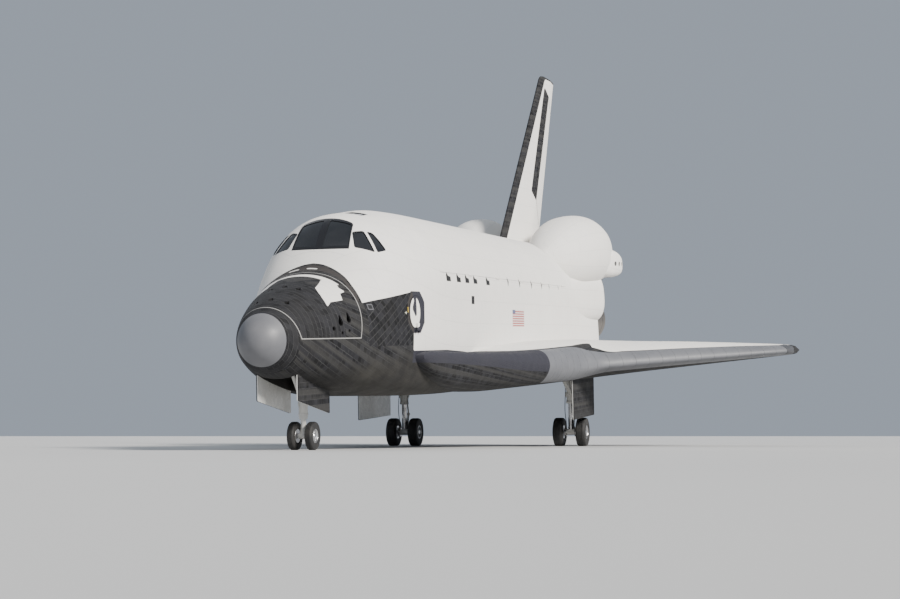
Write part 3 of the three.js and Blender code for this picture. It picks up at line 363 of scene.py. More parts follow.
def bulge(rows, power, grow=0.0, per_row=10, points=40):
    """A rounded form off the middle, from rows of aft, middle out, middle height, half width, half height."""
    rows = np.asarray(rows, float)
    aft = np.linspace(rows[0, 0], rows[-1, 0], per_row * (len(rows) - 1) + 1)
    out, height, half, tall = (pchip(rows[:, 0], rows[:, k], aft) for k in range(1, 5))
    return loft([
        section_ring((h + t, h - t, w, h, power, power), a, grow, points, out=o)
        for a, o, h, w, t in zip(aft, out, height, half, tall)
    ])


# Where a point of the skin lies: metres along the body and round from the top middle
TABLE_AFT = np.linspace(0, TAIL_END, 400)
TABLE_TURN = np.linspace(math.pi / 2, -math.pi / 2, 181)
TABLE = np.array([section_at(a) for a in TABLE_AFT])


def girth_table():
    """Metres round the skin from the bottom middle, by station and by turn about the waist."""
    table = []
    for section in TABLE:
        x, z = half_outline(section)
        turn = np.arctan2(z - section[3], np.maximum(x, 1e-9))
        gone = girth_steps(x, z)
        table.append(np.interp(-TABLE_TURN, -turn, gone[-1] - gone))
    return np.array(table)


GIRTHS = girth_table()
ALONGS = girth_steps(TABLE_AFT, TABLE[:, 2])


def girth(points):
    x, y, z = points.T
    column = np.interp(y, TABLE_AFT, np.arange(len(TABLE_AFT)))
    turn = np.arctan2(z - np.interp(y, TABLE_AFT, TABLE[:, 3]), np.abs(x))
    row = (math.pi / 2 - turn) / math.pi * (len(TABLE_TURN) - 1)
    i = np.clip(column.astype(int), 0, len(TABLE_AFT) - 2)
    j = np.clip(row.astype(int), 0, len(TABLE_TURN) - 2)
    u, v = column - i, row - j
    return (
        GIRTHS[i, j] * (1 - u) * (1 - v)
        + GIRTHS[i + 1, j] * u * (1 - v)
        + GIRTHS[i, j + 1] * (1 - u) * v
        + GIRTHS[i + 1, j + 1] * u * v
    )


def inside_polygon(u, v, corners):
    """Signed distance into a polygon, positive inside."""
    corners = np.asarray(corners, float)
    distance = np.full(len(u), 1e9)
    inside = np.zeros(len(u), bool)
    for start, end in zip(corners, np.roll(corners, -1, 0)):
        distance = np.minimum(distance, np.hypot(*from_line(u, v, start, end)))
        crosses = (start[1] > v) != (end[1] > v)
        with np.errstate(divide="ignore", invalid="ignore"):
            inside ^= crosses & (u < (v - start[1]) * (end[0] - start[0]) / (end[1] - start[1]) + start[0])
    return np.where(inside, distance, -distance)


# Paint regions. Each answers with metres into the region, positive inside.
# The black nose ends along this line, as distance from the middle and aft.
NOSE_BACK = np.array([
    (0, 4.50), (0.30, 4.46), (0.53, 4.39), (0.78, 4.30),
    (1.08, 4.17), (1.36, 4.00), (1.56, 3.92), (1.68, 3.88),
])
NOSE_BACK_FOOT = 2.88  # below this height the line runs straight down
SIDE_TOP = np.array([(3.89, 2.86), (6.40, 3.21)])
SIDE_BACK = 6.46
SIDE_FRONT = 3.90
SIDE_FOOT = 1.62
RINGS_TO = 2.78  # the rings of tiles round the nose end here, and rows along it follow
# A lighter strip inside the black nose's aft edge: its outer side, and its inner side
# by distance from the middle
BAND_OUTER = 0.09
BAND_INNER = np.array([(0.0, 0.46), (0.6, 0.36), (1.1, 0.24)])
BAND_FOOT = 2.90
CHINE = np.array([
    (6.40, 1.46), (9.2, 1.45), (11.0, 1.38), (12.5, 1.28),
    (14.0, 1.0), (31.8, 1.0), (32.3, 0.62), (33.0, 0.60),
])
# The dark band round the glove's leading edge: its lower edge as aft and height,
# and how far in its top reaches as aft and x
GLOVE_FOOT = np.array([
    (6.4, 1.11), (8.3, 1.04), (9.57, 0.98), (10.85, 0.91),
    (12.15, 0.825), (13.47, 0.73), (14.8, 0.644), (17.5, 0.53),
])
GLOVE_IN = np.array([(6.4, 2.0), (11.0, 2.5), (12.0, 2.7), (14.0, 3.3), (15.4, 3.68), (16.7, 3.80)])
GLOVE_BACK = 16.7
GLOVE_ON_SIDE = {"back": 14.0, "foot": 1.1}
# Below this height the tile rows of the nose give way to the belly's smooth blend, as aft and height
ROWS_FOOT = np.array([(0.0, 0.60), (2.0, 0.80), (4.0, 1.05), (6.5, 1.30), (9.0, 1.40)])
HATCH = {"out": 2.435, "aft": 6.640, "height": 2.600, "radius": 0.500, "splay": math.radians(9)}
HATCH_RING = {"half_long": 0.575, "half_tall": 0.625, "corner": 0.67}
HATCH_RIM = 0.035  # a dark line round the hatch's ring
HATCH_SEAL = {"radius": 0.485, "half": 0.012}
MODULE_FRONT = 0.950
MODULE_SIDE = [(1.005, 1.860), (3.500, 1.860), (3.820, 3.700), (3.900, 4.500), (0.640, 4.500), (0.760, 2.760)]
# A ragged white patch on each shoulder of the nose, as aft and height
PATCH = [
    (2.67, 3.28), (3.29, 3.51), (3.59, 3.57), (3.60, 3.46), (3.43, 3.29), (3.51, 3.18), (3.25, 3.12),
    (3.13, 2.93), (2.61, 2.87), (2.38, 2.74), (2.45, 2.99), (2.55, 3.16),
]
PATCH_STRIP = (3.36, 3.60, 3.38)  # front, back and lowest height of the strip that joins the patches
# Two white dashes on the band behind them, as x and aft from end to end
DASHES = [((-0.60, 4.15), (-0.36, 4.18)), ((-0.07, 4.20), (0.20, 4.18))]
DASH_HALF, DASH_FOOT = 0.035, 3.4
WINDOWS = {
    # corners on the skin as x, aft, height
    "front": [(0.085, 4.945, 4.530), (0.870, 5.120, 4.555), (0.775, 5.740, 5.235), (0.085, 5.760, 5.385)],
    "middle": [(1.040, 5.170, 4.525), (1.560, 5.430, 4.375), (1.135, 5.690, 5.015), (0.870, 5.480, 4.985)],
    "side": [(1.635, 5.500, 4.390), (1.785, 5.830, 4.465), (1.370, 5.870, 4.950), (1.225, 5.765, 4.995)],
    "overhead": [(0.180, 6.780, 5.640), (0.700, 6.780, 5.560), (0.700, 7.350, 5.630), (0.180, 7.350, 5.715)],
}
# The black surround of the two front windows in the top view, and its lower edge's height
WINDSCREEN = [(-0.1, 4.60), (0.964, 4.60), (0.800, 5.800), (0.40, 5.84), (-0.1, 5.85)]
WINDSCREEN_FOOT = 4.485


def nose_dark(x, y, z):
    return np.where(z > NOSE_BACK_FOOT, np.interp(np.abs(x), *NOSE_BACK.T), NOSE_BACK[-1, 1]) - y


def side_dark(x, y, z):
    return np.minimum(SIDE_BACK - y, np.interp(y, *SIDE_TOP.T) - z)


def belly_dark(x, y, z):
    return np.interp(y, *CHINE.T) - z


def hatch_dark(x, y, z):
    long = np.abs(y - HATCH["aft"]) / HATCH_RING["half_long"]
    tall = np.abs(z - HATCH["height"] - 0.01) / HATCH_RING["half_tall"]
    out = np.maximum(np.maximum(long, tall), (long + tall) * HATCH_RING["corner"])
    return np.where(x > 1, (1 - out) * 0.6, -1.0)


def light_patch(x, y, z):
    patch = inside_polygon(y, z, PATCH)
    front, back, low = PATCH_STRIP
    strip = np.minimum(np.minimum(y - front, back - y), z - low)
    dashes = [DASH_HALF - np.hypot(*from_line(x, y, *dash)) for dash in DASHES]
    return np.maximum.reduce([patch, strip, *[np.where(z > DASH_FOOT, dash, -1.0) for dash in dashes]])


def from_line(u, v, start, end):
    """The way from points to the nearest place on a line."""
    (u0, v0), (u1, v1) = start, end
    du, dv = u1 - u0, v1 - v0
    share = np.clip(((u - u0) * du + (v - v0) * dv) / (du * du + dv * dv), 0, 1)
    return u - u0 - share * du, v - v0 - share * dv


def module_inside(x, y, z):
    return inside_polygon(y, z, MODULE_SIDE)


def tile_ways(along, across):
    """Where points lie among the tiles, in metres along the rows and across them."""
    return np.stack([along, across, np.zeros_like(along)], 1)


def paint_fuselage(points):
    x, y, z = points.T
    dark = np.maximum.reduce([nose_dark(x, y, z), side_dark(x, y, z), belly_dark(x, y, z)])
    dark = np.minimum(dark, -light_patch(x, y, z))
    dark = np.maximum(dark, hatch_dark(x, y, z))
    inner = np.interp(np.abs(x), *BAND_INNER.T)
    strip = np.minimum.reduce([nose_dark(x, y, z) - BAND_OUTER, inner - nose_dark(x, y, z), z - BAND_FOOT])
    return {
        "skin": tile_ways(np.interp(y, TABLE_AFT, ALONGS), girth(points)),
        "dark": dark,
        "module": module_inside(x, y, z),
        "side": np.minimum.reduce([side_dark(x, y, z), y - SIDE_FRONT, z - SIDE_FOOT]),
        "rings": np.minimum(np.maximum(MODULE_FRONT - y, module_inside(x, y, z)), RINGS_TO - y),
        "band": np.maximum(strip, hatch_dark(x, y, z) - HATCH_RIM),
        "glove": np.minimum.reduce([y - SIDE_BACK, GLOVE_ON_SIDE["back"] - y, z - GLOVE_ON_SIDE["foot"]]),
        "belly": np.interp(y, *ROWS_FOOT.T) - z,
    }


REGIONS = ("module", "side", "rings", "band", "glove", "belly")


def paint_flat(points, along=1, across=0, dark=-1.0):
    """Tile rows laid by two of the axes, with one tone all over unless `dark` says otherwise."""
    zero = np.zeros(len(points))
    return {
        "skin": tile_ways(points[:, along], points[:, across]),
        "dark": zero + dark,
        **{region: zero - 1 for region in REGIONS},
    }


# Node graphs for the finishes
RAMP_INPUTS = ("Value", "From Min", "From Max", "To Min", "To Max")


class Graph:
    def __init__(self, name):
        self.material = bpy.data.materials.new(name)
        self.material.use_nodes = True
        self.nodes = self.material.node_tree.nodes
        self.links = self.material.node_tree.links
        self.shader = self.nodes["Principled BSDF"]

    def set(self, socket, value):
        """Link a socket, or give it a number or a colour as red, green and blue."""
        if isinstance(value, bpy.types.NodeSocket):
            self.links.new(value, socket)
        else:
            socket.default_value = (*value, 1.0) if socket.type == "RGBA" else value

    def node(self, kind, inputs=(), **settings):
        node = self.nodes.new("ShaderNode" + kind)
        for key, value in settings.items():
            setattr(node, key, value)
        for key, value in dict(inputs).items():
            self.set(node.inputs[key], value)
        return node

    def math(self, operation, a, b=0.0, clamp=False):
        node = self.node("Math", operation=operation, use_clamp=clamp)
        self.set(node.inputs[0], a)
        self.set(node.inputs[1], b)
        return node.outputs[0]

    def attribute(self, name, output="Fac"):
        return self.node("Attribute", attribute_name=name).outputs[output]

    def over(self, value, edge=0.003):
        """1 where a signed distance is positive, with a soft edge."""
        return self.ramp(value, -edge, edge)

    def ramp(self, value, low, high, to_low=0.0, to_high=1.0):
        node = self.node("MapRange", clamp=True)
        for key, number in zip(RAMP_INPUTS, (value, low, high, to_low, to_high)):
            self.set(node.inputs[key], number)
        return node.outputs["Result"]

    def mix(self, share, a, b, blend="MIX"):
        node = self.node("Mix", data_type="RGBA", blend_type=blend)
        self.set(node.inputs["Factor"], share)
        self.set(node.inputs[6], a)
        self.set(node.inputs[7], b)
        return node.outputs[2]

    def patchy(self, base, tone, noise, low, high, most):
        """The base with patches of another tone, as strong as `most`."""
        return self.mix(self.ramp(self.noise(*noise), low, high, 0.0, most), base, tone)

    def noise(self, scale, detail=4.0, rough=0.55, vector=None):
        node = self.node("TexNoise", {"Scale": scale, "Detail": detail, "Roughness": rough})
        self.set(node.inputs["Vector"], vector or self.place())
        return node.outputs["Fac"]

    def place(self):
        return self.node("TexCoord").outputs["Object"]

    def rows_of_tiles(self, vector, size, tones, line_tone):
        """Tiles with an unbroken line between their rows, and a broken one between the tiles of a row."""
        tiles, gap = self.bricks(vector, size, tones, 0.006)
        across = self.node("SeparateXYZ", {"Vector": vector}).outputs["Y"]
        line = self.ramp(self.math("PINGPONG", across, size[1] / 2), 0.005, 0.010, 1.0, 0.0)
        return self.mix(line, tiles, line_tone), self.math("MAXIMUM", gap, line)

    def turned(self, vector, angle):
        inputs = {"Vector": vector, "Angle": angle}
        return self.node("VectorRotate", inputs, rotation_type="Z_AXIS").outputs[0]

    def bricks(self, vector, size, colours, gap, offset=0.5):
        first, second, mortar = colours
        node = self.node(
            "TexBrick",
            {
                "Vector": vector, "Color1": first, "Color2": second, "Mortar": mortar, "Scale": 1.0,
                "Mortar Size": gap, "Mortar Smooth": 0.15, "Bias": 0.0,
                "Brick Width": size[0], "Row Height": size[1],
            },
            offset=offset, squash=1.0,
        )
        return node.outputs["Color"], node.outputs["Fac"]

    def bump(self, height, distance, strength=1.0, normal=None):
        node = self.node("Bump", {"Height": height, "Distance": distance, "Strength": strength})
        if normal is not None:
            self.set(node.inputs["Normal"], normal)
        return node.outputs["Normal"]

    def finish(self, **inputs):
        for key, value in inputs.items():
            self.set(self.shader.inputs[key.replace("_", " ")], value)
        return self.material


def scaled(tone, by):
    return tuple(min(1, c * by) for c in tone)


WHITE = (0.850, 0.830, 0.795)
WHITE_ALT = (0.830, 0.812, 0.780)
WHITE_GAP = (0.72, 0.705, 0.68)
DARK = (0.006, 0.006, 0.007)
DARK_ALT = (0.024, 0.024, 0.028)
DARK_GAP = (0.060, 0.060, 0.061)
DARK_BELLY = (0.024, 0.023, 0.022)


TILE = (0.180, 0.165)  # a black tile's length and its row's height
SLANT = math.radians(-42)


def white_surface(g, skin, fine):
    """Large blankets over a fine tile grid: their colour, and the gaps between them."""
    panels, panel_gap = g.bricks(skin, (1.22, 0.76), (WHITE, WHITE_ALT, WHITE_GAP), 0.006)
    grid = ((1, 1, 1), (0.985, 0.985, 0.988), (0.94, 0.94, 0.94))
    tiles, _ = g.bricks(skin, (0.203, 0.203), grid, 0.003)
    white = g.mix(1.0, panels, tiles, "MULTIPLY")
    white = g.patchy(white, (0.60, 0.585, 0.55), (0.35, 5, 0.6), 0.45, 0.75, 0.08)
    return g.mix(g.ramp(fine, 0.3, 0.8, 0.0, 0.04), white, (0.55, 0.54, 0.52)), panel_gap


def black_tiles(g, skin):
    """Rows along the body, rings round the nose, and slanting rows ahead of the hatch."""
    way = g.node("SeparateXYZ", {"Vector": skin})
    swapped = g.node("CombineXYZ", {"X": way.outputs["Y"], "Y": way.outputs["X"]}).outputs[0]
    broken = g.ramp(g.noise(6.0, 3, 0.7), 0.40, 0.60)
    tones = (DARK, DARK_ALT, g.mix(broken, DARK, DARK_GAP))
    line_tone = g.mix(g.ramp(g.noise(2.0, 4, 0.7), 0.35, 0.60), (0.030, 0.030, 0.031), DARK_GAP)
    rows, row_gap = g.rows_of_tiles(skin, TILE, tones, line_tone)
    rings, ring_gap = g.rows_of_tiles(swapped, TILE, tones, line_tone)
    slant, slant_gap = g.rows_of_tiles(g.turned(skin, SLANT), (TILE[1], TILE[1]), tones, line_tone)
    # Some rows are paler than their neighbours
    across = g.node("CombineXYZ", {"Y": way.outputs["Y"]}).outputs[0]
    rows = g.patchy(rows, (0.044, 0.043, 0.042), (4.2, 1, 0.4, across), 0.45, 0.58, 0.75)
    along = g.node("CombineXYZ", {"X": way.outputs["X"]}).outputs[0]
    rings = g.patchy(rings, (0.024, 0.024, 0.026), (4.6, 1, 0.4, along), 0.45, 0.58, 0.6)
    on_rings, on_side = g.over(g.attribute("rings")), g.over(g.attribute("side"))
    black = g.mix(on_side, g.mix(on_rings, rows, rings), slant)
    return black, g.mix(on_side, g.mix(on_rings, row_gap, ring_gap), slant_gap)


def weathered(g, black):
    """The black tiles with the belly's blend, the bands of other tones and the module's pale seam."""
    weather = g.ramp(g.noise(0.55, 6, 0.68), 0.46, 0.70, 0.0, 0.30)
    on_belly = g.over(g.attribute("belly"), 0.25)
    black = g.mix(g.math("MAXIMUM", weather, g.math("MULTIPLY", on_belly, 0.85)), black, DARK_BELLY)
    pale = g.math("MULTIPLY", on_belly, g.ramp(g.noise(0.28, 5, 0.7), 0.50, 0.70, 0.0, 0.7))
    black = g.mix(pale, black, (0.060, 0.057, 0.050))
    black = g.mix(g.over(g.attribute("band"), 0.01), black, (0.044, 0.040, 0.039))
    glove_tone = g.mix(weather, (0.034, 0.034, 0.044), (0.050, 0.050, 0.056))
    black = g.mix(g.over(g.attribute("glove"), 0.01), black, glove_tone)
    line = g.ramp(g.math("ABSOLUTE", g.attribute("module")), 0.010, 0.016, 1.0, 0.0)
    return g.mix(line, black, (0.36, 0.355, 0.345))


def skin_finish():
    """White blankets and tiles, and black tiles, divided by the pieces' own distance fields."""
    g = Graph("shuttle_skin")
    skin = g.attribute("skin", "Vector")
    fine = g.noise(5.5, 4, 0.6)
    white, panel_gap = white_surface(g, skin, fine)
    black, dark_gap = black_tiles(g, skin)
    is_dark = g.over(g.attribute("dark"))
    colour = g.mix(is_dark, white, weathered(g, black))
    gaps = g.math("MAXIMUM", g.math("MULTIPLY", is_dark, dark_gap), panel_gap)
    normal = g.bump(g.math("SUBTRACT", 1.0, gaps), 0.006, 0.5)
    normal = g.bump(fine, 0.012, 0.25, normal)
    rough = g.ramp(g.noise(2.2, 3, 0.5), 0.2, 0.8, 0.60, 0.80)
    return g.finish(Base_Color=colour, Roughness=rough, Normal=normal, Specular_IOR_Level=0.18)


def carbon_finish(name, tone, streak):
    g = Graph(name)
    base = g.mix(g.ramp(g.noise(1.1, 5, 0.6), 0.3, 0.75), tone, streak)
    base = g.patchy(base, scaled(tone, 0.7), (14, 4, 0.7), 0.5, 0.9, 0.25)
    normal = g.bump(g.noise(40, 3, 0.6), 0.002, 0.3)
    rough = g.ramp(g.noise(3, 3, 0.5), 0.2, 0.8, 0.42, 0.58)
    return g.finish(Base_Color=base, Roughness=rough, Normal=normal)


def glass_finish():
    g = Graph("window_glass")
    smear = g.ramp(g.noise(2.5, 4, 0.6), 0.3, 0.8, 0.02, 0.09)
    tint = g.mix(g.ramp(g.noise(1.3, 2, 0.5), 0.3, 0.7), (0.010, 0.011, 0.013), (0.024, 0.025, 0.028))
    return g.finish(Base_Color=tint, Roughness=smear, IOR=1.5, Transmission_Weight=0.20, Coat_Weight=0.3)


def metal_finish(name, tone, rough=(0.28, 0.5), metallic=1.0, scratches=60.0, dirt=(0.03, 0.028, 0.025)):
    g = Graph(name)
    streaks = g.node("Mapping", {"Vector": g.place(), "Scale": (1.0, 1.0, 0.12)}).outputs[0]
    worn = g.noise(scratches, 4, 0.65, streaks)
    base = g.patchy(tone, dirt, (3.0, 5, 0.6), 0.5, 0.8, 0.55)
    base = g.mix(g.ramp(worn, 0.35, 0.7, 0.0, 0.2), base, scaled(tone, 1.5))
    normal = g.bump(worn, 0.001, 0.2)
    rough = g.ramp(worn, 0.3, 0.7, *rough)
    return g.finish(Base_Color=base, Roughness=rough, Normal=normal, Metallic=metallic)


def paint_finish(name, tone, rough=(0.28, 0.45), dirt=0.25, dark=(0.18, 0.16, 0.13)):
    g = Graph(name)
    grime = g.ramp(g.noise(2.6, 6, 0.65), 0.45, 0.8, 0.0, dirt)
    base = g.mix(grime, tone, dark)
    base = g.patchy(base, scaled(tone, 0.8), (25, 3, 0.5), 0.55, 0.85, 0.15)
    normal = g.bump(g.noise(60, 3, 0.5), 0.001, 0.25)
    return g.finish(Base_Color=base, Roughness=g.ramp(grime, 0.0, 0.3, *rough), Normal=normal)


def rubber_finish():
    g = Graph("tyre_rubber")
    dust = g.ramp(g.noise(3.5, 5, 0.6), 0.4, 0.8, 0.0, 0.55)
    base = g.mix(dust, (0.016, 0.016, 0.017), (0.065, 0.060, 0.054))
    normal = g.bump(g.noise(120, 2, 0.5), 0.001, 0.3)
    return g.finish(Base_Color=base, Roughness=g.ramp(dust, 0, 0.6, 0.62, 0.85), Normal=normal)


def lining_finish():
    """Quilted off-white blankets that line the bay."""
    g = Graph("bay_lining")
    skin = g.attribute("skin", "Vector")
    tones = ((0.70, 0.70, 0.68), (0.65, 0.65, 0.63), (0.45, 0.45, 0.44))
    quilt, gap = g.bricks(skin, (0.50, 0.50), tones, 0.010, offset=0.0)
    quilt = g.patchy(quilt, (0.50, 0.49, 0.45), (1.4, 4, 0.6), 0.4, 0.8, 0.3)
    normal = g.bump(g.math("SUBTRACT", g.noise(9, 3, 0.6), gap), 0.02, 0.5)
    return g.finish(Base_Color=quilt, Roughness=g.ramp(gap, 0.0, 1.0, 0.75, 0.9), Normal=normal)


STRIPES_PER_METRE = 11.6


def striped_finish():
    """Plain red and white stripes with a plain blue corner."""
    g = Graph("striped_panel")
    skin = g.node("SeparateXYZ", {"Vector": g.attribute("skin", "Vector")})
    phase = g.math("FRACT", g.math("MULTIPLY", skin.outputs["Y"], STRIPES_PER_METRE))
    red = g.math("LESS_THAN", phase, 0.5)
    base = g.mix(red, (0.74, 0.72, 0.69), (0.45, 0.055, 0.06))
    ahead = g.math("LESS_THAN", skin.outputs["X"], 0.42)
    above = g.math("GREATER_THAN", skin.outputs["Y"], 0.46)
    base = g.mix(g.math("MULTIPLY", ahead, above), base, (0.085, 0.105, 0.21))
    base = g.patchy(base, (0.6, 0.58, 0.55), (3, 4, 0.6), 0.4, 0.8, 0.2)
    return g.finish(Base_Color=base, Roughness=g.ramp(g.noise(8, 3, 0.5), 0.3, 0.8, 0.5, 0.65))


SKIN = skin_finish()
NOSE_CARBON = carbon_finish("nose_carbon", (0.125, 0.128, 0.140), (0.165, 0.165, 0.175))
EDGE_CARBON = carbon_finish("edge_carbon", (0.122, 0.126, 0.140), (0.156, 0.160, 0.173))
TIP_CARBON = carbon_finish("tip_carbon", (0.045, 0.047, 0.054), (0.075, 0.077, 0.085))
GLASS = glass_finish()
# A near-black tone that paints the shade of openings and recesses: it darkens the flat vent and slit plates,
# the thruster cups and the leading edge's core behind its gaps.
HOLE_SHADE = paint_finish("painted_recess_shade", (0.010, 0.010, 0.011), (0.6, 0.8), 0.4, (0.024, 0.022, 0.020))
FRAME_BLACK = paint_finish("frame_black", (0.010, 0.010, 0.012), (0.30, 0.45), 0.15, (0.022, 0.022, 0.022))
BELL_METAL = metal_finish("bell_metal", (0.33, 0.30, 0.27), (0.30, 0.50))
BELL_INSIDE = metal_finish("bell_inside", (0.20, 0.18, 0.165), (0.38, 0.60), 0.8)
NOZZLE_METAL = metal_finish("nozzle_metal", (0.19, 0.185, 0.18), (0.35, 0.55), 0.8)
STEEL = metal_finish("bare_steel", (0.52, 0.52, 0.53), (0.18, 0.36))
RIM_METAL = metal_finish("wheel_metal", (0.60, 0.60, 0.61), (0.22, 0.40))
LEG_PAINT = paint_finish("gear_paint", (0.70, 0.70, 0.68), (0.25, 0.42), 0.35)
DOME_BLANKET = paint_finish("dome_blanket", (0.60, 0.585, 0.55), (0.70, 0.88), 0.35, (0.30, 0.27, 0.22))
CABIN_GREY = paint_finish("cabin_grey", (0.30, 0.31, 0.32), (0.45, 0.6), 0.2, (0.1, 0.1, 0.1))
SEAT_CLOTH = paint_finish("seat_cloth", (0.11, 0.12, 0.13), (0.75, 0.9), 0.3, (0.05, 0.05, 0.05))
RADIATOR = metal_finish("radiator_sheet", (0.66, 0.67, 0.68), (0.16, 0.30), 0.85, 20.0, (0.4, 0.4, 0.4))
LINING = lining_finish()
RUBBER = rubber_finish()
STRIPES = striped_finish()
VENT_GREY = paint_finish("vent_grey", (0.10, 0.10, 0.11), (0.55, 0.7), 0.3, (0.05, 0.05, 0.05))
YELLOW_MARK = paint_finish("yellow_mark", (0.62, 0.42, 0.05), (0.5, 0.65), 0.25)
PALE_MARK = paint_finish("pale_mark", (0.50, 0.52, 0.44), (0.5, 0.65), 0.25)
HOSE = paint_finish("hose_black", (0.02, 0.02, 0.021), (0.45, 0.6), 0.3)


# Pieces: a form in its place, with its finish, riding on its body
made = {}


def give(mesh, name, values):
    values = np.asarray(values, float)
    kind = "FLOAT_VECTOR" if values.ndim == 2 else "FLOAT"
    layer = mesh.attributes.new(name, kind, "POINT")
    layer.data.foreach_set("vector" if values.ndim == 2 else "value", values.ravel())


def piece(name, form, finish, paint=None, body="airframe", replaces=(), slot=None, sharp=32.0):
    mesh = form.object.data.copy()
    mesh.name = name
    if paint is not None:
        for key, values in paint(positions(mesh)).items():
            give(mesh, key, values)
    mesh.transform(AIRFRAME)
    mesh.materials.clear()
    mesh.materials.append(finish)
    mesh.shade_smooth()
    mesh.set_sharp_from_angle(angle=math.radians(sharp))
    obj = bpy.data.objects.new(name, mesh)
    bpy.context.scene.collection.objects.link(obj)
    if replaces:
        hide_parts(*replaces)
    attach(obj, body)
    made[name] = obj
    return obj


def pair(name, form, finish, paint=None, body="airframe", replaces="", slot=None, sharp=32.0):
    """The port form and its mirror image. {} in a name stands for the side's word."""
    for word, side in (("port", form), ("starboard", form.flipped())):
        nodes = [replaces.format(word)] if replaces else []
        piece(name.format(word), side, finish, paint, body.format(word), nodes, slot, sharp)


# The fuselage
CAD_GAP = 0.0003
SKIN_CLEAR = 0.002
hull_clear = hull(0.0, TAIL_END, SKIN_CLEAR, step=0.048)


def side_prism(outline, x0, x1):
    """A prism from an outline in the side view, given as aft and height."""
    return loft([[(x, y, z) for y, z in outline] for x in (x0, x1)])


def plan_prism(outline, z0, z1):
    """A prism from an outline in the top view, given as x and aft."""
    return loft([[(x, y, z) for x, y in outline] for z in (z0, z1)])


def rounded(corners, radius, steps=4):
    """A polygon in the plane or in space with its corners rounded off."""
    corners = [Vector(c) for c in corners]
    out = []
    for before, here, after in zip(corners[-1:] + corners[:-1], corners, corners[1:] + corners[:1]):
        back, on = before - here, after - here
        start = here + back.normalized() * min(radius, back.length * 0.45)
        end = here + on.normalized() * min(radius, on.length * 0.45)
        for i in range(steps + 1):
            t = i / steps
            out.append(start * (1 - t) ** 2 + here * 2 * t * (1 - t) + end * t**2)
    return out


def window_prism(corners, shrink, reach=0.42, radius=0.07):
    points = [Vector(c) for c in corners]
    centre = sum(points, Vector()) / len(points)
    normal = (points[2] - points[0]).cross(points[3] - points[1]).normalized()
    pulled = [p - (p - centre).normalized() * shrink for p in points]
    ring = rounded(pulled, radius)
    return loft([[p + normal * by for p in ring] for by in (-reach, reach)])


def skin_spot(aft, turn):
    """A point of the skin and the way out of it. The turn is from the port side up to the top."""
    def point(a, t):
        top, bottom, half, waist, upper, lower = section_at(a)
        power, reach = (upper, top - waist) if t >= 0 else (lower, waist - bottom)
        radius = radius_at(abs(math.cos(t)), abs(math.sin(t)), half, reach, power)
        return Vector((radius * math.cos(t), a, waist + radius * math.sin(t)))

    here = point(aft, turn)
    along = point(aft + 0.02, turn) - point(aft - 0.02, turn)
    round_way = point(aft, turn + 0.01) - point(aft, turn - 0.01)
    out = along.cross(round_way).normalized()
    return here, out if out.dot(here - Vector((0, aft, section_at(aft)[3]))) > 0 else -out


def depth_in(points):
    """Metres inside the skin, by the ratio of the radii about the waist."""
    x, y, z = points.T
    top, bottom, half, waist, upper, lower = (np.interp(y, TABLE_AFT, column) for column in TABLE.T)
    up = z - waist
    power = np.where(up >= 0, upper, lower)
    reach = np.where(up >= 0, top - waist, waist - bottom)
    turn = np.arctan2(np.abs(up), np.abs(x))
    return radius_at(np.cos(turn), np.sin(turn), half, reach, power) - np.hypot(x, up)


INSIDE = 0.09  # deeper than this, the shell's faces are inside it


def paint_shell(points):
    """The fuselage's paint outside, and dark inside its shell."""
    values = paint_fuselage(points)
    return {**values, "dark": np.where(depth_in(points) > INSIDE, 1.0, values["dark"])}


def module_block(grow):
    middle = Vector((2.3, 2.9))
    wider = [c + (c - middle).normalized() * grow * 1.2 for c in map(Vector, MODULE_SIDE)]
    return side_prism(wider, -FAR, FAR)


# Thruster openings of the forward module: aft, turn from the side in degrees, radius,
# and length of the point above
SIDE_THRUSTERS = [
    (2.635, 14.5, 0.100, 0.22), (3.010, 15.5, 0.100, 0.22), (2.300, 9.5, 0.066, 0.0),
    (2.640, 3.5, 0.050, 0.0), (2.960, 4.5, 0.048, 0.0),
]
TOP_THRUSTERS = [
    (1.200, 90, 0.080, 0.10), (1.240, 66, 0.080, 0.10), (1.240, 114, 0.080, 0.10), (2.230, 90, 0.085, 0.09),
    (2.200, 73, 0.085, 0.09), (2.200, 107, 0.085, 0.09),
]
CUP = {"depth": 0.30, "wall": 0.012}


def opening(row, shrink, low, high):
    """A teardrop-shaped prism along the way out of the skin: round below, drawn to a point above."""
    aft, degrees, radius, point = row
    spot, out = skin_spot(aft, math.radians(degrees))
    up = Vector((0, 0, 1)) if abs(out.z) < 0.8 else Vector((0, 1, 0))
    up = (up - out * up.dot(out)).normalized()
    across = up.cross(out)
    r, tip = radius - shrink, point - 2 * shrink
    turns = np.radians(np.linspace(180, 360, 15)) if point else np.radians(np.arange(0, 360, 15))
    ring = [(r * math.cos(t), r * math.sin(t)) for t in turns]
    if point:
        shoulder, end = (r * 0.62, tip * 0.45), (r * 0.12, r * 0.2 + tip)
        ring += [shoulder, end, (-end[0], end[1]), (-shoulder[0], shoulder[1])]
    return loft([[spot + across * u + up * v + out * by for u, v in ring] for by in (low, high)])


def openings_of(shrink, low, high):
    port = [opening(row, shrink, low, high) for row in SIDE_THRUSTERS]
    top = [opening(row, shrink, low, high) for row in TOP_THRUSTERS]
    return port + [form.flipped() for form in port] + top


HATCH_MIDDLE = Vector((HATCH["out"], HATCH["aft"], HATCH["height"]))
HATCH_PLACE = Matrix.Translation(HATCH_MIDDLE) @ Matrix.Rotation(-HATCH["splay"], 4, "Z")
HATCH_HINGE = {"out": 0.075, "drop": -0.520, "radius": 0.034, "half": 0.070}
CABIN = {"front": 4.700, "back": 8.480, "floor": 0.900, "deck": 3.700, "deck_thick": 0.060}
SEAT = {"out": 0.560, "half": 0.230, "front": 6.050}


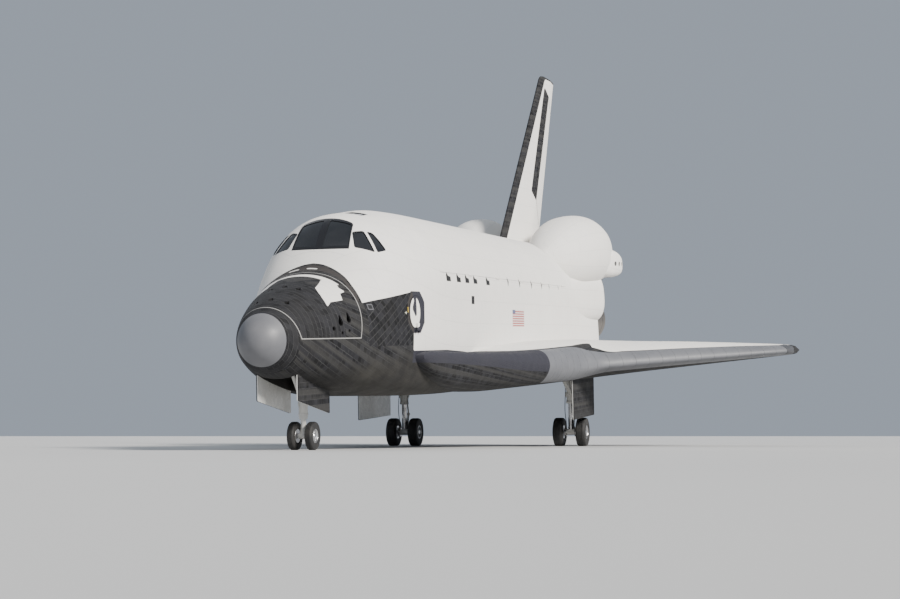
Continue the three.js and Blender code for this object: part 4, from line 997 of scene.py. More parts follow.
def cabin_form(grow=0.0):
    room = box(-FAR, FAR, CABIN["front"] - grow, CABIN["back"] + grow, CABIN["floor"] - grow, FAR)
    return hull(CABIN["front"] - 0.2, CABIN["back"] + 0.2, grow - CABIN_WALL, 0.15, 48).meet(room)


def on_hatch(form):
    return form.moved(HATCH_PLACE)


def hatch_barrel(start, end):
    out, drop = HATCH_HINGE["out"], HATCH_HINGE["drop"]
    return rounded_bar((out, start, drop), (out, end, drop), HATCH_HINGE["radius"], 0.006)


module_form = hull(0.5, 4.2, step=0.048).meet(module_block(-SEAM / 2))
module_form = module_form.cut(*openings_of(0.0, -CUP["depth"], 0.4))
module = "forward_thruster_module"
piece(module + "_shell", module_form, SKIN, paint_fuselage, replaces=[module], slot="black_tile")
# The thruster cups are finished in the near-black painted shade of an opening.
cups = joined(openings_of(0.002, 0.002 - CUP["depth"], -0.020))
cups = cups.cut(*openings_of(CUP["wall"], CUP["wall"] - CUP["depth"], 0.4))
piece("forward_thruster_cups", cups, HOLE_SHADE, slot="nozzle_metal")

cap = hull(0.0, NOSE_CAP_END, step=0.048)
piece("nose_cap_shell", cap, NOSE_CARBON, replaces=["nose_cap"], slot="nose_carbon", sharp=60)

front_part = hull(NOSE_CAP_END + SEAM, BAY_FRONT - SEAM, step=0.059, points=110)
well_half, well_front, well_back = NOSE_WELL["half"], NOSE_WELL["front"], NOSE_WELL["back"]
nose_well = box(-well_half, well_half, well_front, well_back, -FAR, NOSE_WELL["ceiling"])
openings = [window_prism(c, 0.0) for c in WINDOWS.values()]
openings += [o.flipped() for o in openings]
hatch_hole = on_hatch(bar((-0.9, 0, 0), (0.6, 0, 0), HATCH["radius"] + 0.010, sides=96))
shell = front_part.cut(module_block(SEAM / 2), cabin_form(), nose_well, hatch_hole, *openings)
ears = []
for start, end in ((-0.130, -0.0705), (0.0705, 0.130)):
    drop = HATCH_HINGE["drop"]
    ears.append(on_hatch(box(-0.085, 0.075, start, end, drop - 0.090, drop).join(hatch_barrel(start, end))))
shell = shell.join(*ears)
piece("forward_fuselage_shell", shell, SKIN, paint_shell, replaces=["forward_fuselage"], slot="white_tile")


# A white oval with a dark pointed shape from its top, in the hatch's own plane
HATCH_OVAL = {"aft": -0.070, "half_long": 0.335, "half_tall": 0.450}
HATCH_MARK = [
    (-0.13, 0.48), (0.02, 0.48), (0.012, 0.368), (0.03, 0.114), (0.03, -0.073), (-0.045, -0.124),
    (-0.13, -0.04), (-0.25, 0.10), (-0.22, 0.20), (-0.15, 0.32),
]


def paint_hatch(points):
    local = (np.asarray(HATCH_PLACE.inverted()) @ np.c_[points, np.ones(len(points))].T).T[:, :3]
    mark = inside_polygon(local[:, 1], local[:, 2], HATCH_MARK)
    long = (local[:, 1] - HATCH_OVAL["aft"]) / HATCH_OVAL["half_long"]
    beyond = (np.hypot(long, local[:, 2] / HATCH_OVAL["half_tall"]) - 1) * HATCH_OVAL["half_long"]
    rim = HATCH_SEAL["half"] - np.abs(np.hypot(local[:, 1], local[:, 2]) - HATCH_SEAL["radius"])
    changed = {"dark": np.maximum(mark, beyond), "band": np.minimum(beyond - 0.01, -rim)}
    return {**paint_fuselage(points), **changed}


plug = on_hatch(bar((-0.9, 0, 0), (0.3, 0, 0), HATCH["radius"] - 0.300, HATCH["radius"] + 0.100, sides=96))
hatch_half, hatch_drop = HATCH_HINGE["half"], HATCH_HINGE["drop"]
leaf = box(0.045, 0.085, -hatch_half, hatch_half, hatch_drop, hatch_drop + 0.200)
foot = box(-0.035, 0.085, -hatch_half, hatch_half, hatch_drop + 0.090, hatch_drop + 0.200)
hatch_skin = skin_band(5.6, 7.7, (0.0, 0.03, 140), (-CABIN_WALL, 0.1, 60)).meet(plug)
hatch = hatch_skin.join(on_hatch(leaf.join(foot, hatch_barrel(-hatch_half, hatch_half))))
piece("side_hatch_leaf", hatch, SKIN, paint_hatch, "side_hatch", ["side_hatch"], "white_tile")

glass_shell, frame_shell = (
    skin_band(CABIN["front"], CABIN["back"], (outer, 0.06), (inner, 0.06))
    for outer, inner in ((-0.018, -0.050), (0.004, -0.060))
)
windscreen = plan_prism(rounded(WINDSCREEN, 0.10, 8), WINDSCREEN_FOOT, 6.2)
for which, corners in WINDOWS.items():
    pane = glass_shell.meet(window_prism(corners, 0.004))
    node = "window_" + which + "_{}"
    pair(node + "_pane", pane, GLASS, replaces=node, slot="window_glass")
    surround = window_prism(corners, -0.030)
    if which == "front":
        surround = windscreen.meet(box(0, FAR, 0, FAR, 0, FAR))
    trim = frame_shell.meet(surround).cut(window_prism(corners, 0.014, 0.5))
    pair(node + "_frame", trim, FRAME_BLACK, slot="black_tile")

# The flight deck behind the windows: a floor, two seats and the instrument console
deck_top = CABIN["deck"] + CABIN["deck_thick"]
deck = box(-FAR, FAR, CABIN["front"], CABIN["back"], CABIN["deck"], deck_top).meet(cabin_form(-0.001))
piece("flight_deck_floor", deck, CABIN_GREY, replaces=["flight_deck"], slot="cabin_grey")
CONSOLE = [(5.16, 0.50), (5.30, 0.60), (5.52, 0.56), (5.50, 0.0), (5.20, 0.0)]  # aft and height over the deck
SEAT_PAN = [(0.0, 0.02), (0.0, 0.42), (0.500, 0.38), (0.500, 0.02)]  # aft of the seat's front, and height
SEAT_BACK = [(0.370, 0.2), (0.370, 1.12), (0.480, 1.15), (0.500, 0.2)]


def on_deck(outline, radius, x0, x1, front=0.0):
    """A prism with rounded edges from its side view over the deck."""
    return side_prism(rounded([(front + y, deck_top + z) for y, z in outline], radius), x0, x1)


piece("flight_deck_console", on_deck(CONSOLE, 0.05, -0.95, 0.95), CABIN_GREY, slot="cabin_grey")
for word, side in SIDES:
    x, half, y = side * SEAT["out"], SEAT["half"], SEAT["front"]
    pan = on_deck(SEAT_PAN, 0.06, x - half, x + half, y)
    back = on_deck(SEAT_BACK, 0.05, x - half + 0.02, x + half - 0.02, y)
    piece("flight_deck_seat_" + word, pan.join(back), SEAT_CLOTH, slot="cabin_grey")

# The payload bay and its doors
DOOR_HINGE_X = WING_ROOT * math.sqrt(1 - ((DOOR_SPLIT - 3.380) / (5.945 - 3.380)) ** 2) + 0.010
DOOR_BARREL, DOOR_BARREL_LENGTH, RUN = 0.030, 0.220, 0.0055
DOOR_BARRELS = (11.900, 15.500, 19.100, 22.700, 26.300)
SKIN_THICK = 0.030


def bay_form(grow=0.0, front=BAY_FRONT - 0.5, back=BAY_BACK + 0.5):
    return loft([section_ring(BAY, a, grow, 60) for a in (front, back)])


def door_barrel(start, radius, extra=0.0):
    front, back = start - extra, start + DOOR_BARREL_LENGTH + extra
    return bar((DOOR_HINGE_X, front, DOOR_SPLIT), (DOOR_HINGE_X, back, DOOR_SPLIT), radius)


def paint_bay(points):
    x, y, z = points.T
    return {**paint_flat(points), "skin": tile_ways(y, np.arctan2(x, z - BAY[3]) * BAY_GIRTH)}


mid = hull(BAY_FRONT, BAY_BACK, step=0.14, points=84)
trough = mid.meet(box(-FAR, FAR, BAY_FRONT, BAY_BACK, -FAR, DOOR_SPLIT - 0.005))
notches, fixed = [], []
for start in DOOR_BARRELS:
    notches.append(door_barrel(start, DOOR_BARREL + RUN, RUN).both())
    fixed.append(door_barrel(start + DOOR_BARREL_LENGTH + CAD_GAP, DOOR_BARREL).both())
inner_line = bay_form(0.05)
skin_form = trough.cut(inner_line, *notches).join(*fixed)
piece("mid_fuselage_shell", skin_form, SKIN, paint_fuselage, replaces=["mid_fuselage"], slot="white_blanket")
lining = bay_form(0.05, BAY_FRONT, BAY_BACK).cut(bay_form(0.0), space_above(DOOR_SPLIT - 0.005))
piece("payload_bay_lining", lining, LINING, paint_bay, slot="white_blanket")
frames = []
for y in np.linspace(BAY_FRONT + 1.4, BAY_BACK - 1.4, 12):
    inside = bay_form(-0.07, y - 0.1, y + 0.1)
    frames.append(bay_form(0.01, y - 0.03, y + 0.03).cut(inside, space_above(DOOR_SPLIT - 0.10)))
piece("payload_bay_frames", joined(frames), LEG_PAINT, slot="white_blanket")

door_room = box(RUN / 2, FAR, BAY_FRONT + RUN, BAY_BACK - RUN, DOOR_SPLIT + 0.005, FAR)
door = mid.cut(hull(BAY_FRONT - 0.1, BAY_BACK + 0.1, -SKIN_THICK - 0.05, 0.3, 60)).meet(door_room)
clear_of_fixed = [door_barrel(s + DOOR_BARREL_LENGTH + CAD_GAP, DOOR_BARREL + RUN, RUN) for s in DOOR_BARRELS]
door = door.cut(*clear_of_fixed).join(*[door_barrel(s, DOOR_BARREL) for s in DOOR_BARRELS])
DOOR_SEAMS = np.linspace(BAY_FRONT, BAY_BACK, 6)[1:-1]
seam_shell = skin_band(BAY_FRONT - 0.1, BAY_BACK + 0.1, (0.05, 0.4), (-0.012, 0.4))
door = door.cut(*[seam_shell.meet(between(y - 0.006, y + 0.006)) for y in DOOR_SEAMS])
node = "payload_door_{}"
pair(node + "_shell", door, SKIN, paint_fuselage, node, node, "white_blanket")
sheet = hull(BAY_FRONT, BAY_BACK, -SKIN_THICK - 0.052, 0.3, 60).cut(bay_form(0.006))
sheet = sheet.meet(box(0.06, FAR, BAY_FRONT + 0.3, BAY_BACK - 0.3, DOOR_SPLIT + 0.12, FAR))
sheet = sheet.cut(*[between(y - 0.03, y + 0.03) for y in DOOR_SEAMS])
pair(node + "_radiator", sheet, RADIATOR, paint_bay, node, slot="white_blanket")

# The wing
WING = np.array([
    # span, leading edge, upper rise, lower rise, upper peak share, lower peak share, sharpness
    (1.524, 6.450, 1.180, 0.420, 0.72, 0.10, 0.60),
    (WING_ROOT, 6.700, 1.170, 0.495, 0.72, 0.10, 0.60),
    (3.100, 9.430, 1.150, 0.490, 0.70, 0.12, 0.60),
    (3.685, 13.120, 1.110, 0.480, 0.66, 0.16, 0.60),
    (4.320, 17.120, 1.040, 0.455, 0.56, 0.24, 0.60),
    (4.775, 19.850, 0.980, 0.430, 0.50, 0.30, 0.54),
    (5.205, 20.900, 0.935, 0.410, 0.47, 0.34, 0.50),
    (5.840, 21.570, 0.870, 0.380, 0.46, 0.36, 0.50),
    (7.620, 23.260, 0.710, 0.310, 0.45, 0.38, 0.50),
    (10.160, 25.650, 0.440, 0.215, 0.45, 0.40, 0.50),
    (11.430, 26.850, 0.290, 0.165, 0.45, 0.40, 0.50),
    (11.750, 27.260, 0.240, 0.150, 0.45, 0.40, 0.50),
    (WING_TIP, 27.700, 0.180, 0.125, 0.45, 0.40, 0.50),
])
BELLY_FLAT_TO = 0.7
TRAIL_HALF = 0.014
WING_STEPS = 52
WING_ROOM = (-2.0, 4.0)  # heights that hold the whole wing


def wing_row(span):
    return [float(pchip(WING[:, 0], WING[:, k], np.array([span]))[0]) for k in range(1, 7)]


def chord_height(span):
    return WING_HEIGHT + (span - WING_ROOT) * math.tan(DIHEDRAL)


def hinge_half(span):
    return blend(HINGE_HALF, (span - WING_ROOT) / (WING_TIP - WING_ROOT))


def thickness(share, peak, flat_to, sharpness, end_share):
    rising = (1 - (1 - np.minimum(share / peak, 1)) ** 2) ** sharpness
    fallen = np.maximum(0, (share - flat_to) / (1 - flat_to))
    return np.where(share < peak, rising, end_share + (1 - end_share) * np.cos(fallen * math.pi / 2))


# Ahead of the outer panels the leading edge rises forward to meet the fuselage's side.
GLOVE_RISE = {"back": 20.0, "slope": 0.061, "fade": 0.3}


def glove_rise(lead, share):
    rise = np.maximum(0, GLOVE_RISE["back"] - lead) * GLOVE_RISE["slope"]
    return rise * np.maximum(0, 1 - share / GLOVE_RISE["fade"]) ** 2


BEHIND_HINGE = (0.02, 0.2, 0.5)  # extra rows on the elevons, as shares of their chord


def wing_ring(span, grow=0.0, lift=0.0):
    lead, upper, lower, upper_peak, lower_peak, sharpness = wing_row(span)
    middle, hinge = chord_height(span) + lift, hinge_half(span)
    trail = ROOT_TRAIL - TRAIL_SWEEP * (span - WING_ROOT)
    shares = (np.arange(1, WING_STEPS + 1) / WING_STEPS) ** 2
    aft = lead - grow + shares * (ELEVON_HINGE - lead + grow)
    nose = middle + glove_rise(lead, shares)
    above = nose + (upper + grow) * thickness(shares, upper_peak, upper_peak, sharpness, hinge / upper)
    below = nose - (lower + grow) * thickness(shares, lower_peak, BELLY_FLAT_TO, 0.5, hinge / lower)

    def behind(side, share):
        half = (hinge + grow) * (1 - share) + TRAIL_HALF * share
        return (span, ELEVON_HINGE + (trail - ELEVON_HINGE) * share, middle + side * half)

    ring = [(span, lead - grow, middle + glove_rise(lead, 0))]
    ring += [(span, y, z) for y, z in zip(aft, above)]
    ring += [behind(1, share) for share in (*BEHIND_HINGE, 1)]
    ring += [behind(-1, share) for share in (1, *BEHIND_HINGE[::-1])]
    ring += [(span, y, z) for y, z in zip(aft[::-1], below[::-1])]
    return ring


def wing_form(grow=0.0, lift=0.0, step=0.085):
    spans = np.linspace(WING[0, 0], WING_TIP, int((WING_TIP - WING[0, 0]) / step))
    return loft([wing_ring(s, grow, lift) for s in spans])


def hinge_at(along):
    out, up = along * math.cos(DIHEDRAL), along * math.sin(DIHEDRAL)
    return Vector((WING_ROOT + out, ELEVON_HINGE, WING_HEIGHT + up))


def hinge_slab(start, end, front=-FAR, back=FAR):
    turn = Matrix.Translation((WING_ROOT, 0, WING_HEIGHT)) @ Matrix.Rotation(-DIHEDRAL, 4, "Y")
    return box(start, end, front, back, -10, 10).moved(turn)


COVE_REACH = 2.0


def cove_ring(place, half, top_lip, bottom_lip, reach=COVE_REACH, steps=20):
    radius = half + 0.0095
    start = math.pi / 2 + math.asin(top_lip * half / radius)
    end = 1.5 * math.pi - math.asin(bottom_lip * half / radius)
    turns = np.linspace(start, end, steps + 1)
    ring = [(-top_lip * half, reach)] + [(math.cos(t) * radius, math.sin(t) * radius) for t in turns]
    ring += [(-bottom_lip * half, -reach), (4 * COVE_REACH, -reach), (4 * COVE_REACH, reach)]
    return [place(u, v) for u, v in ring]


def elevon_cove(start, end):
    rings = []
    for along in (start, end):
        hinge = hinge_at(along)

        def on_cove(u, v, hinge=hinge):
            return (hinge.x - v * math.sin(DIHEDRAL), hinge.y + u, hinge.z + v * math.cos(DIHEDRAL))

        rings.append(cove_ring(on_cove, hinge_half(hinge.x), 0.4, 0.27))
    return loft(rings)


EDGE_SPANS = np.linspace(EDGE_START, WING_TIP, 120)
EDGE_LEADS = np.array([wing_row(span)[0] for span in EDGE_SPANS])


def edge_outline(depth, inner):
    """The leading edge's strip in plan, its back edge `depth` behind the leading edge and square to it."""
    spans = np.concatenate([[inner], EDGE_SPANS[EDGE_SPANS > inner + 0.01]])
    leads = np.interp(spans, EDGE_SPANS, EDGE_LEADS)
    leads[0] += (inner - spans.clip(EDGE_START)[0]) * END_SLOPE
    slope = np.gradient(leads, spans)
    reach = depth / np.hypot(1, slope)
    back = list(zip(spans - slope * reach, leads + reach))
    beyond = WING_TIP + 0.1
    return [(inner, 0.0), (inner, leads[0])] + back + [(beyond, back[-1][1]), (beyond, 0.0)]


END_SLOPE = (EDGE_LEADS[1] - EDGE_LEADS[0]) / (EDGE_SPANS[1] - EDGE_SPANS[0])
# How wide the dark line behind the grey strip is, by span
EDGE_SHADOW = np.array([(4.2, 0.09), (4.8, 0.06), (5.4, 0.045), (7.0, 0.03), (9.0, 0.012), (12.0, 0.012)])
TIP_FACE = 0.012


def paint_wing(points):
    side, aft, height = np.abs(points[:, 0]), points[:, 1], points[:, 2]
    lead = pchip(WING[:, 0], WING[:, 1], side)
    slope = (pchip(WING[:, 0], WING[:, 1], side + 0.02) - lead) / 0.02
    middle = chord_height(side) + glove_rise(lead, (aft - lead) / (ELEVON_HINGE - lead))
    under = middle + 0.01 - height
    behind_strip = EDGE_DEPTH + np.interp(side, *EDGE_SHADOW.T) - (aft - lead) / np.hypot(1, slope)
    on_glove = side - np.interp(aft, *GLOVE_IN.T)
    top = np.where(aft < GLOVE_BACK, np.maximum(on_glove, behind_strip), behind_strip)
    top = np.where(aft > ELEVON_HINGE - 0.4, -1.0, top)
    foot = height - np.interp(aft, *GLOVE_FOOT.T)
    return {
        **paint_flat(points),
        "skin": tile_ways(aft, np.where(under > 0, side + height, side - height)),
        "dark": np.maximum.reduce([under, top, side - WING_TIP + TIP_FACE]),
        "glove": np.minimum(foot, GLOVE_FOOT[-1, 0] - aft),
    }


well_space = [MAIN_WELL[key] for key in ("inner", "outer", "front", "back")]
main_well = box(*well_space, -FAR, MAIN_WELL["ceiling"])
wing_whole = wing_form()
inboard, outboard = ELEVON_SPANS["inboard"], ELEVON_SPANS["outboard"]
edge_strip = plan_prism(edge_outline(EDGE_DEPTH, EDGE_START), *WING_ROOM)
aft_fitting = bar((2.200, 27.420, -0.070), (2.200, 27.420, 0.530), 0.192)
rib = hinge_slab(inboard[1] - 0.001, outboard[0] + 0.001, ELEVON_HINGE + 0.150, FAR)
wing = wing_whole.cut(
    hull_clear, plan_prism(edge_outline(EDGE_DEPTH + 0.006, EDGE_START - 0.001), *WING_ROOM),
    elevon_cove(*inboard), elevon_cove(*outboard), rib, main_well, aft_fitting,
)
pair("wing_{}_shell", wing, SKIN, paint_wing, replaces="wing_{}", slot="white_blanket")

# Grey panels along the leading edge, parted by thin gaps over a recessed core
PANELS = 22
TIP_PANEL = 11.68  # span where the black tip panel begins


def lead_point(span):
    lead = wing_row(span)[0]
    return Vector((span, lead, chord_height(span) + float(glove_rise(lead, 0))))


def panel_ends():
    spans = np.linspace(EDGE_START, TIP_PANEL, 400)
    leads = np.array([wing_row(s)[0] for s in spans])
    gone = girth_steps(spans, leads)
    return np.interp(np.linspace(0, gone[-1], PANELS + 1), gone, spans)


def at_lead(form, span):
    """The form moved to the leading edge, with its x along the edge."""
    here, ahead = lead_point(span), lead_point(span + 0.05)
    turn = math.atan2(ahead.y - here.y, ahead.x - here.x)
    return form.moved(Matrix.Translation(here) @ Matrix.Rotation(turn, 4, "Z"))


def gap_slab(span, half=0.004):
    return at_lead(box(-half, half, -0.75, 0.75, -1.2, 1.2), span)


panel_breaks = panel_ends()
edge = wing_whole.meet(edge_strip)
tip_cut = gap_slab(panel_breaks[-1], 0.012)
panels = edge.cut(*[gap_slab(s) for s in panel_breaks[1:-1]], tip_cut)
outer_side = at_lead(box(0, 3, -3, 3, -2, 2), panel_breaks[-1])
node, slot = "leading_edge_{}", "edge_carbon"
pair(node + "_panels", panels.cut(outer_side), EDGE_CARBON, replaces=node, slot=slot, sharp=40)
pair(node + "_tip", panels.meet(outer_side), TIP_CARBON, slot=slot, sharp=40)
# The core behind the gaps is finished in the near-black painted shade between the panels.
core = wing_form(-0.014).meet(plan_prism(edge_outline(EDGE_DEPTH - 0.02, EDGE_START + 0.01), *WING_ROOM))
pair(node + "_core", core, HOLE_SHADE, slot=slot)


def paint_elevon(points):
    side, aft, height = np.abs(points[:, 0]), points[:, 1], points[:, 2]
    dark = np.maximum(chord_height(side) - 0.002 - height, ELEVON_HINGE + 0.03 - aft)
    return {**paint_flat(points), "skin": tile_ways(aft, side), "dark": dark}


for which, (start, end) in ELEVON_SPANS.items():
    start_at, end_at = hinge_at(start + RUN), hinge_at(end - RUN)
    body = wing_whole.meet(hinge_slab(start + RUN, end - RUN, ELEVON_HINGE, FAR))
    nose = bar(start_at, end_at, hinge_half(start_at.x) - 0.003, hinge_half(end_at.x) - 0.003, sides=64)
    rod = bar(hinge_at(start - 0.060), hinge_at(end + 0.060), 0.0399)
    node = "elevon_" + which + "_{}"
    pair(node + "_shell", body.join(nose, rod), SKIN, paint_elevon, node, node, "white_tile")

# The engines, the tail and its base
def tilted(up, out):
    pitch, yaw = math.radians(up), math.radians(out)
    return Vector((math.sin(yaw) * math.cos(pitch), math.cos(yaw) * math.cos(pitch), math.sin(pitch)))


ENGINES = {
    "main_engine_upper": (Vector((0, 30.710, 4.470)), tilted(16, 0)),
    "main_engine_port": (Vector((1.346, 31.295, 1.921)), tilted(10, 3.5)),
    "main_engine_starboard": (Vector((-1.346, 31.295, 1.921)), tilted(10, -3.5)),
}
MAIN_BELL = np.array([(1.880, 0.640), (2.380, 0.830), (2.900, 0.985), (3.420, 1.095), (3.990, 1.180)])
MAIN_HOOPS, MAIN_BELL_WALL, POD_BELL_WALL = np.linspace(2.15, 3.90, 9), 0.060, 0.035
POD_BELL = np.array([(1.290, 0.270), (1.600, 0.400), (1.900, 0.490), (2.170, 0.545)])
POD_ENGINE = (Vector((2.235, 32.563, 5.715)), tilted(14, 4))
HOOP_HALF = 0.025  # half a hoop's width
HOOP_SINK = 0.012  # how far the wall lies inside the table's radius
DOME = {"ends": (1.000, 1.8797), "radii": (1.250, 0.820)}


def bell_profile(table, wall, hoops, hoop=0.022):
    """The outside with its hoops, out to the rim and back up the inside."""
    distance = np.linspace(table[0, 0], table[-1, 0], 90)
    on_hoop = np.any(np.abs(distance[:, None] - np.asarray(hoops, float)) < HOOP_HALF, axis=1)
    radius = pchip(*table.T, distance) - HOOP_SINK + hoop * 0.5 * on_hoop
    inner_distance = np.linspace(table[-1, 0], table[1, 0] - wall, 30)
    inner = pchip(*table.T, inner_distance) - wall
    return list(zip(distance, radius)), list(zip(inner_distance, inner))


def about_engine(engine, profile, looped=False):
    gimbal, along = engine
    return lathe(profile, gimbal, gimbal + along, 96, looped)


def engine_bar(engine, start, end, radius, end_radius=None):
    gimbal, along = engine
    return bar(gimbal + along * start, gimbal + along * end, radius, end_radius, 64)


def bell(table, wall, engine, hoops):
    outer, inner = bell_profile(table, wall, hoops)
    return about_engine(engine, outer + inner)


def throat(table, wall, engine):
    """The inside of the bell: a thin skin on its inner wall and floor."""
    _, inner = bell_profile(table, wall, [])
    floor_at, floor_radius = inner[-1]
    wall_line, near_line = (
        [(d, r - off) for d, r in inner[:-1]] + [(floor_at + off, floor_radius - off), (floor_at + off, 0.03)]
        for off in (0.001, 0.006)
    )
    return about_engine(engine, wall_line + near_line[::-1], looped=True)


def shield_dome(engine, grow=0.0, rows=14):
    share = np.linspace(0, 1, rows)
    distance = blend((DOME["ends"][0] - grow, DOME["ends"][1] + 0.4 * grow), share)
    return about_engine(engine, list(zip(distance, blend(DOME["radii"], share) + grow)))


FLANK = [
    (28.300, 2.300, 3.500, 0.350, 0.800), (29.700, 2.330, 3.550, 0.510, 1.050),
    (31.300, 2.400, 3.590, 0.720, 1.160), (TAIL_END, 2.450, 3.590, 0.870, 1.180),
]
BASE_LEAN, BASE_FOOT = 0.155, 0.300
FLAP_LUGS = (-1.500, 1.500)
domes = [shield_dome(e) for e in ENGINES.values()]
dome_clear = [shield_dome(e, SKIN_CLEAR) for e in ENGINES.values()]
upper_bell_clear = engine_bar(ENGINES["main_engine_upper"], 1.7, 4.2, 0.720, 1.330)
tail_clear = [hull_clear, bulge(FLANK, 2.6, SKIN_CLEAR).both(), *dome_clear, upper_bell_clear]


def base_at(height):
    return TAIL_END + 0.020 - (height - BASE_FOOT) * math.tan(BASE_LEAN)


def paint_tail(points):
    x, y, z = points.T
    return {**paint_fuselage(points), "dark": np.maximum(belly_dark(x, y, z), y - (base_at(z) - 0.02))}


base_plane = Matrix.Translation((0, TAIL_END + 0.020, BASE_FOOT)) @ Matrix.Rotation(BASE_LEAN, 4, "X")
behind_base = box(-6, 6, 0, 6, -8, 8).moved(base_plane)
flap_cove = loft([
    cove_ring(lambda u, v, x=x: (x, FLAP_HINGE + u, FLAP_HEIGHT + v), FLAP_NOSE, 0.3, 0.45, 0.330)
    for x in (-FLAP_HALF_SPAN - RUN, FLAP_HALF_SPAN + RUN)
])
flanks = bulge(FLANK, 2.6).both().meet(between(BAY_BACK + SEAM, FAR))
tail = hull(BAY_BACK + SEAM, TAIL_END, step=0.09).join(flanks).cut(behind_base, flap_cove)
lugs, eyes = [], []
for x in FLAP_LUGS:
    tall = (FLAP_HEIGHT - 0.065, FLAP_HEIGHT + 0.065)
    lugs.append(box(x - 0.060, x + 0.060, FLAP_HINGE - 0.5, FLAP_HINGE, *tall))
    lugs.append(crosswise((x, FLAP_HINGE, FLAP_HEIGHT), 0.060, 0.080))
    eyes.append(crosswise((x, FLAP_HINGE, FLAP_HEIGHT), 0.1, 0.0453))
tail = tail.join(*lugs).cut(*eyes)
piece("aft_fuselage_shell", tail, SKIN, paint_tail, replaces=["aft_fuselage"], slot="white_tile")
for (name, engine), dome in zip(ENGINES.items(), domes):
    short = name.replace("main_engine_", "")
    ring = dome.cut(engine_bar(engine, 1.80, 1.95, 0.60))
    piece("engine_dome_" + short, ring, DOME_BLANKET, slot="white_blanket")
    outside = bell(MAIN_BELL, MAIN_BELL_WALL, engine, MAIN_HOOPS)
    piece(name + "_bell", outside, BELL_METAL, replaces=[name], slot="nozzle_metal")
    piece(name + "_inside", throat(MAIN_BELL, MAIN_BELL_WALL, engine), BELL_INSIDE, slot="nozzle_metal")

# The pods on the tail's shoulders
POD = [
    (27.240, 1.575, 5.156, 0.200, 0.200), (27.800, 1.675, 5.205, 0.810, 0.860),
    (28.800, 1.830, 5.335, 1.195, 1.320), (30.070, 1.980, 5.460, 1.420, 1.550),
    (31.340, 2.100, 5.535, 1.500, 1.600), (32.610, 2.240, 5.510, 1.350, 1.475),
    (33.370, 2.300, 5.485, 1.160, 1.270), (33.830, 2.330, 5.460, 0.900, 1.000),
]
POD_HOUSING = [
    (31.600, 2.700, 5.050, 0.450, 0.480), (32.700, 3.150, 5.060, 0.630, 0.640),
    (33.700, 3.330, 5.000, 0.530, 0.500), (34.250, 3.330, 4.950, 0.350, 0.290),
]
POD_BACKS = {"housing": 34.22, "pod": 33.815}  # their dark back faces begin here


def paint_pod(points):
    x, y, z = np.abs(points[:, 0]), points[:, 1], points[:, 2]
    rows = np.array(POD)
    out, height = (np.interp(y, rows[:, 0], rows[:, k]) for k in (1, 2))
    dark = np.maximum(y - POD_BACKS["housing"], np.where(np.abs(x - 2.3) < 1.0, y - POD_BACKS["pod"], -1.0))
    skin = tile_ways(y, np.arctan2(x - out, z - height) * POD_GIRTH)
    return {**paint_flat(points), "skin": skin, "dark": dark}


recess = engine_bar(POD_ENGINE, 1.2897, 3.87, 0.340)
pod = bulge(POD, 2.2, points=64, per_row=14).join(bulge(POD_HOUSING, 3, points=48, per_row=12))
pod_holes = []
for y in (32.62, 33.02, 33.42, 33.80):
    pod_holes.append(bar((3.45, y, 5.02), (4.6, y, 5.02), 0.105))
for y in (32.75, 33.15, 33.55):
    pod_holes.append(bar((3.30, y, 5.25), (3.36, y, 6.2), 0.105))
    pod_holes.append(bar((3.30, y, 4.75), (3.36, y, 3.9), 0.105))
for z in (4.86, 5.06):
    pod_holes.append(bar((3.24, 34.05, z), (3.24, 34.5, z), 0.075))
pod = pod.cut(recess, *tail_clear, box(-FAR, 0.430, 0, FAR, -FAR, FAR), *pod_holes)
pair("engine_pod_{}_shell", pod, SKIN, paint_pod, replaces="engine_pod_{}", slot="white_blanket")
linings = [h.meet(bulge(POD_HOUSING, 3, -0.02, points=32)) for h in pod_holes]
linings = joined(linings).cut(bulge(POD_HOUSING, 3, -0.09, points=32))
pair("engine_pod_{}_thrusters", linings, NOZZLE_METAL, slot="nozzle_metal")
pod_bell = bell(POD_BELL, POD_BELL_WALL, POD_ENGINE, [1.95, 2.14])
pair("pod_engine_{}_bell", pod_bell, BELL_METAL, replaces="pod_engine_{}", slot="nozzle_metal")
pair("pod_engine_{}_inside", throat(POD_BELL, POD_BELL_WALL, POD_ENGINE), BELL_INSIDE, slot="nozzle_metal")

# The fin with its split rudder
def fin_row(height):
    """The leading edge, the chord and the half thickness at a height."""
    share = (height - FIN_ROOT) / (FIN_TIP - FIN_ROOT)
    return FIN_LEAD + height - FIN_ROOT, blend(FIN_CHORD, share), blend(FIN_HALF, share)


def fin_hinge(height):
    lead, chord, _ = fin_row(height)
    return lead + FIN_HINGE_SHARE * chord


def fin_ring(height, cut=0.0, slim=1.0):
    start, chord, half = fin_row(height)
    half *= slim
    lead, hinge = start + cut, start + FIN_HINGE_SHARE * chord
    turns = np.linspace(0, math.pi / 2, 7)[1:]
    side = [(FIN_NOSE["half"] * math.sin(t), lead + FIN_NOSE["depth"] * (1 - math.cos(t))) for t in turns]
    nose_end = lead + FIN_NOSE["depth"]
    for t in np.linspace(0, 1, 12)[1:]:
        side.append((blend((FIN_NOSE["half"], half), t), blend((nose_end, hinge), t)))
    side.append((TRAIL_HALF, start + chord))
    port, starboard = ([(s * x, y, height) for x, y in side] for s in (1, -1))
    return [(0, lead, height)] + port + starboard[::-1]


rudder_foot = Vector((0, fin_hinge(RUDDER_FOOT), RUDDER_FOOT))


def rudder_point(across, side, along):
    return Vector((
        side,
        rudder_foot.y + along * math.sin(RUDDER_SWEEP) + across * math.cos(RUDDER_SWEEP),
        rudder_foot.z + along * math.cos(RUDDER_SWEEP) - across * math.sin(RUDDER_SWEEP),
    ))


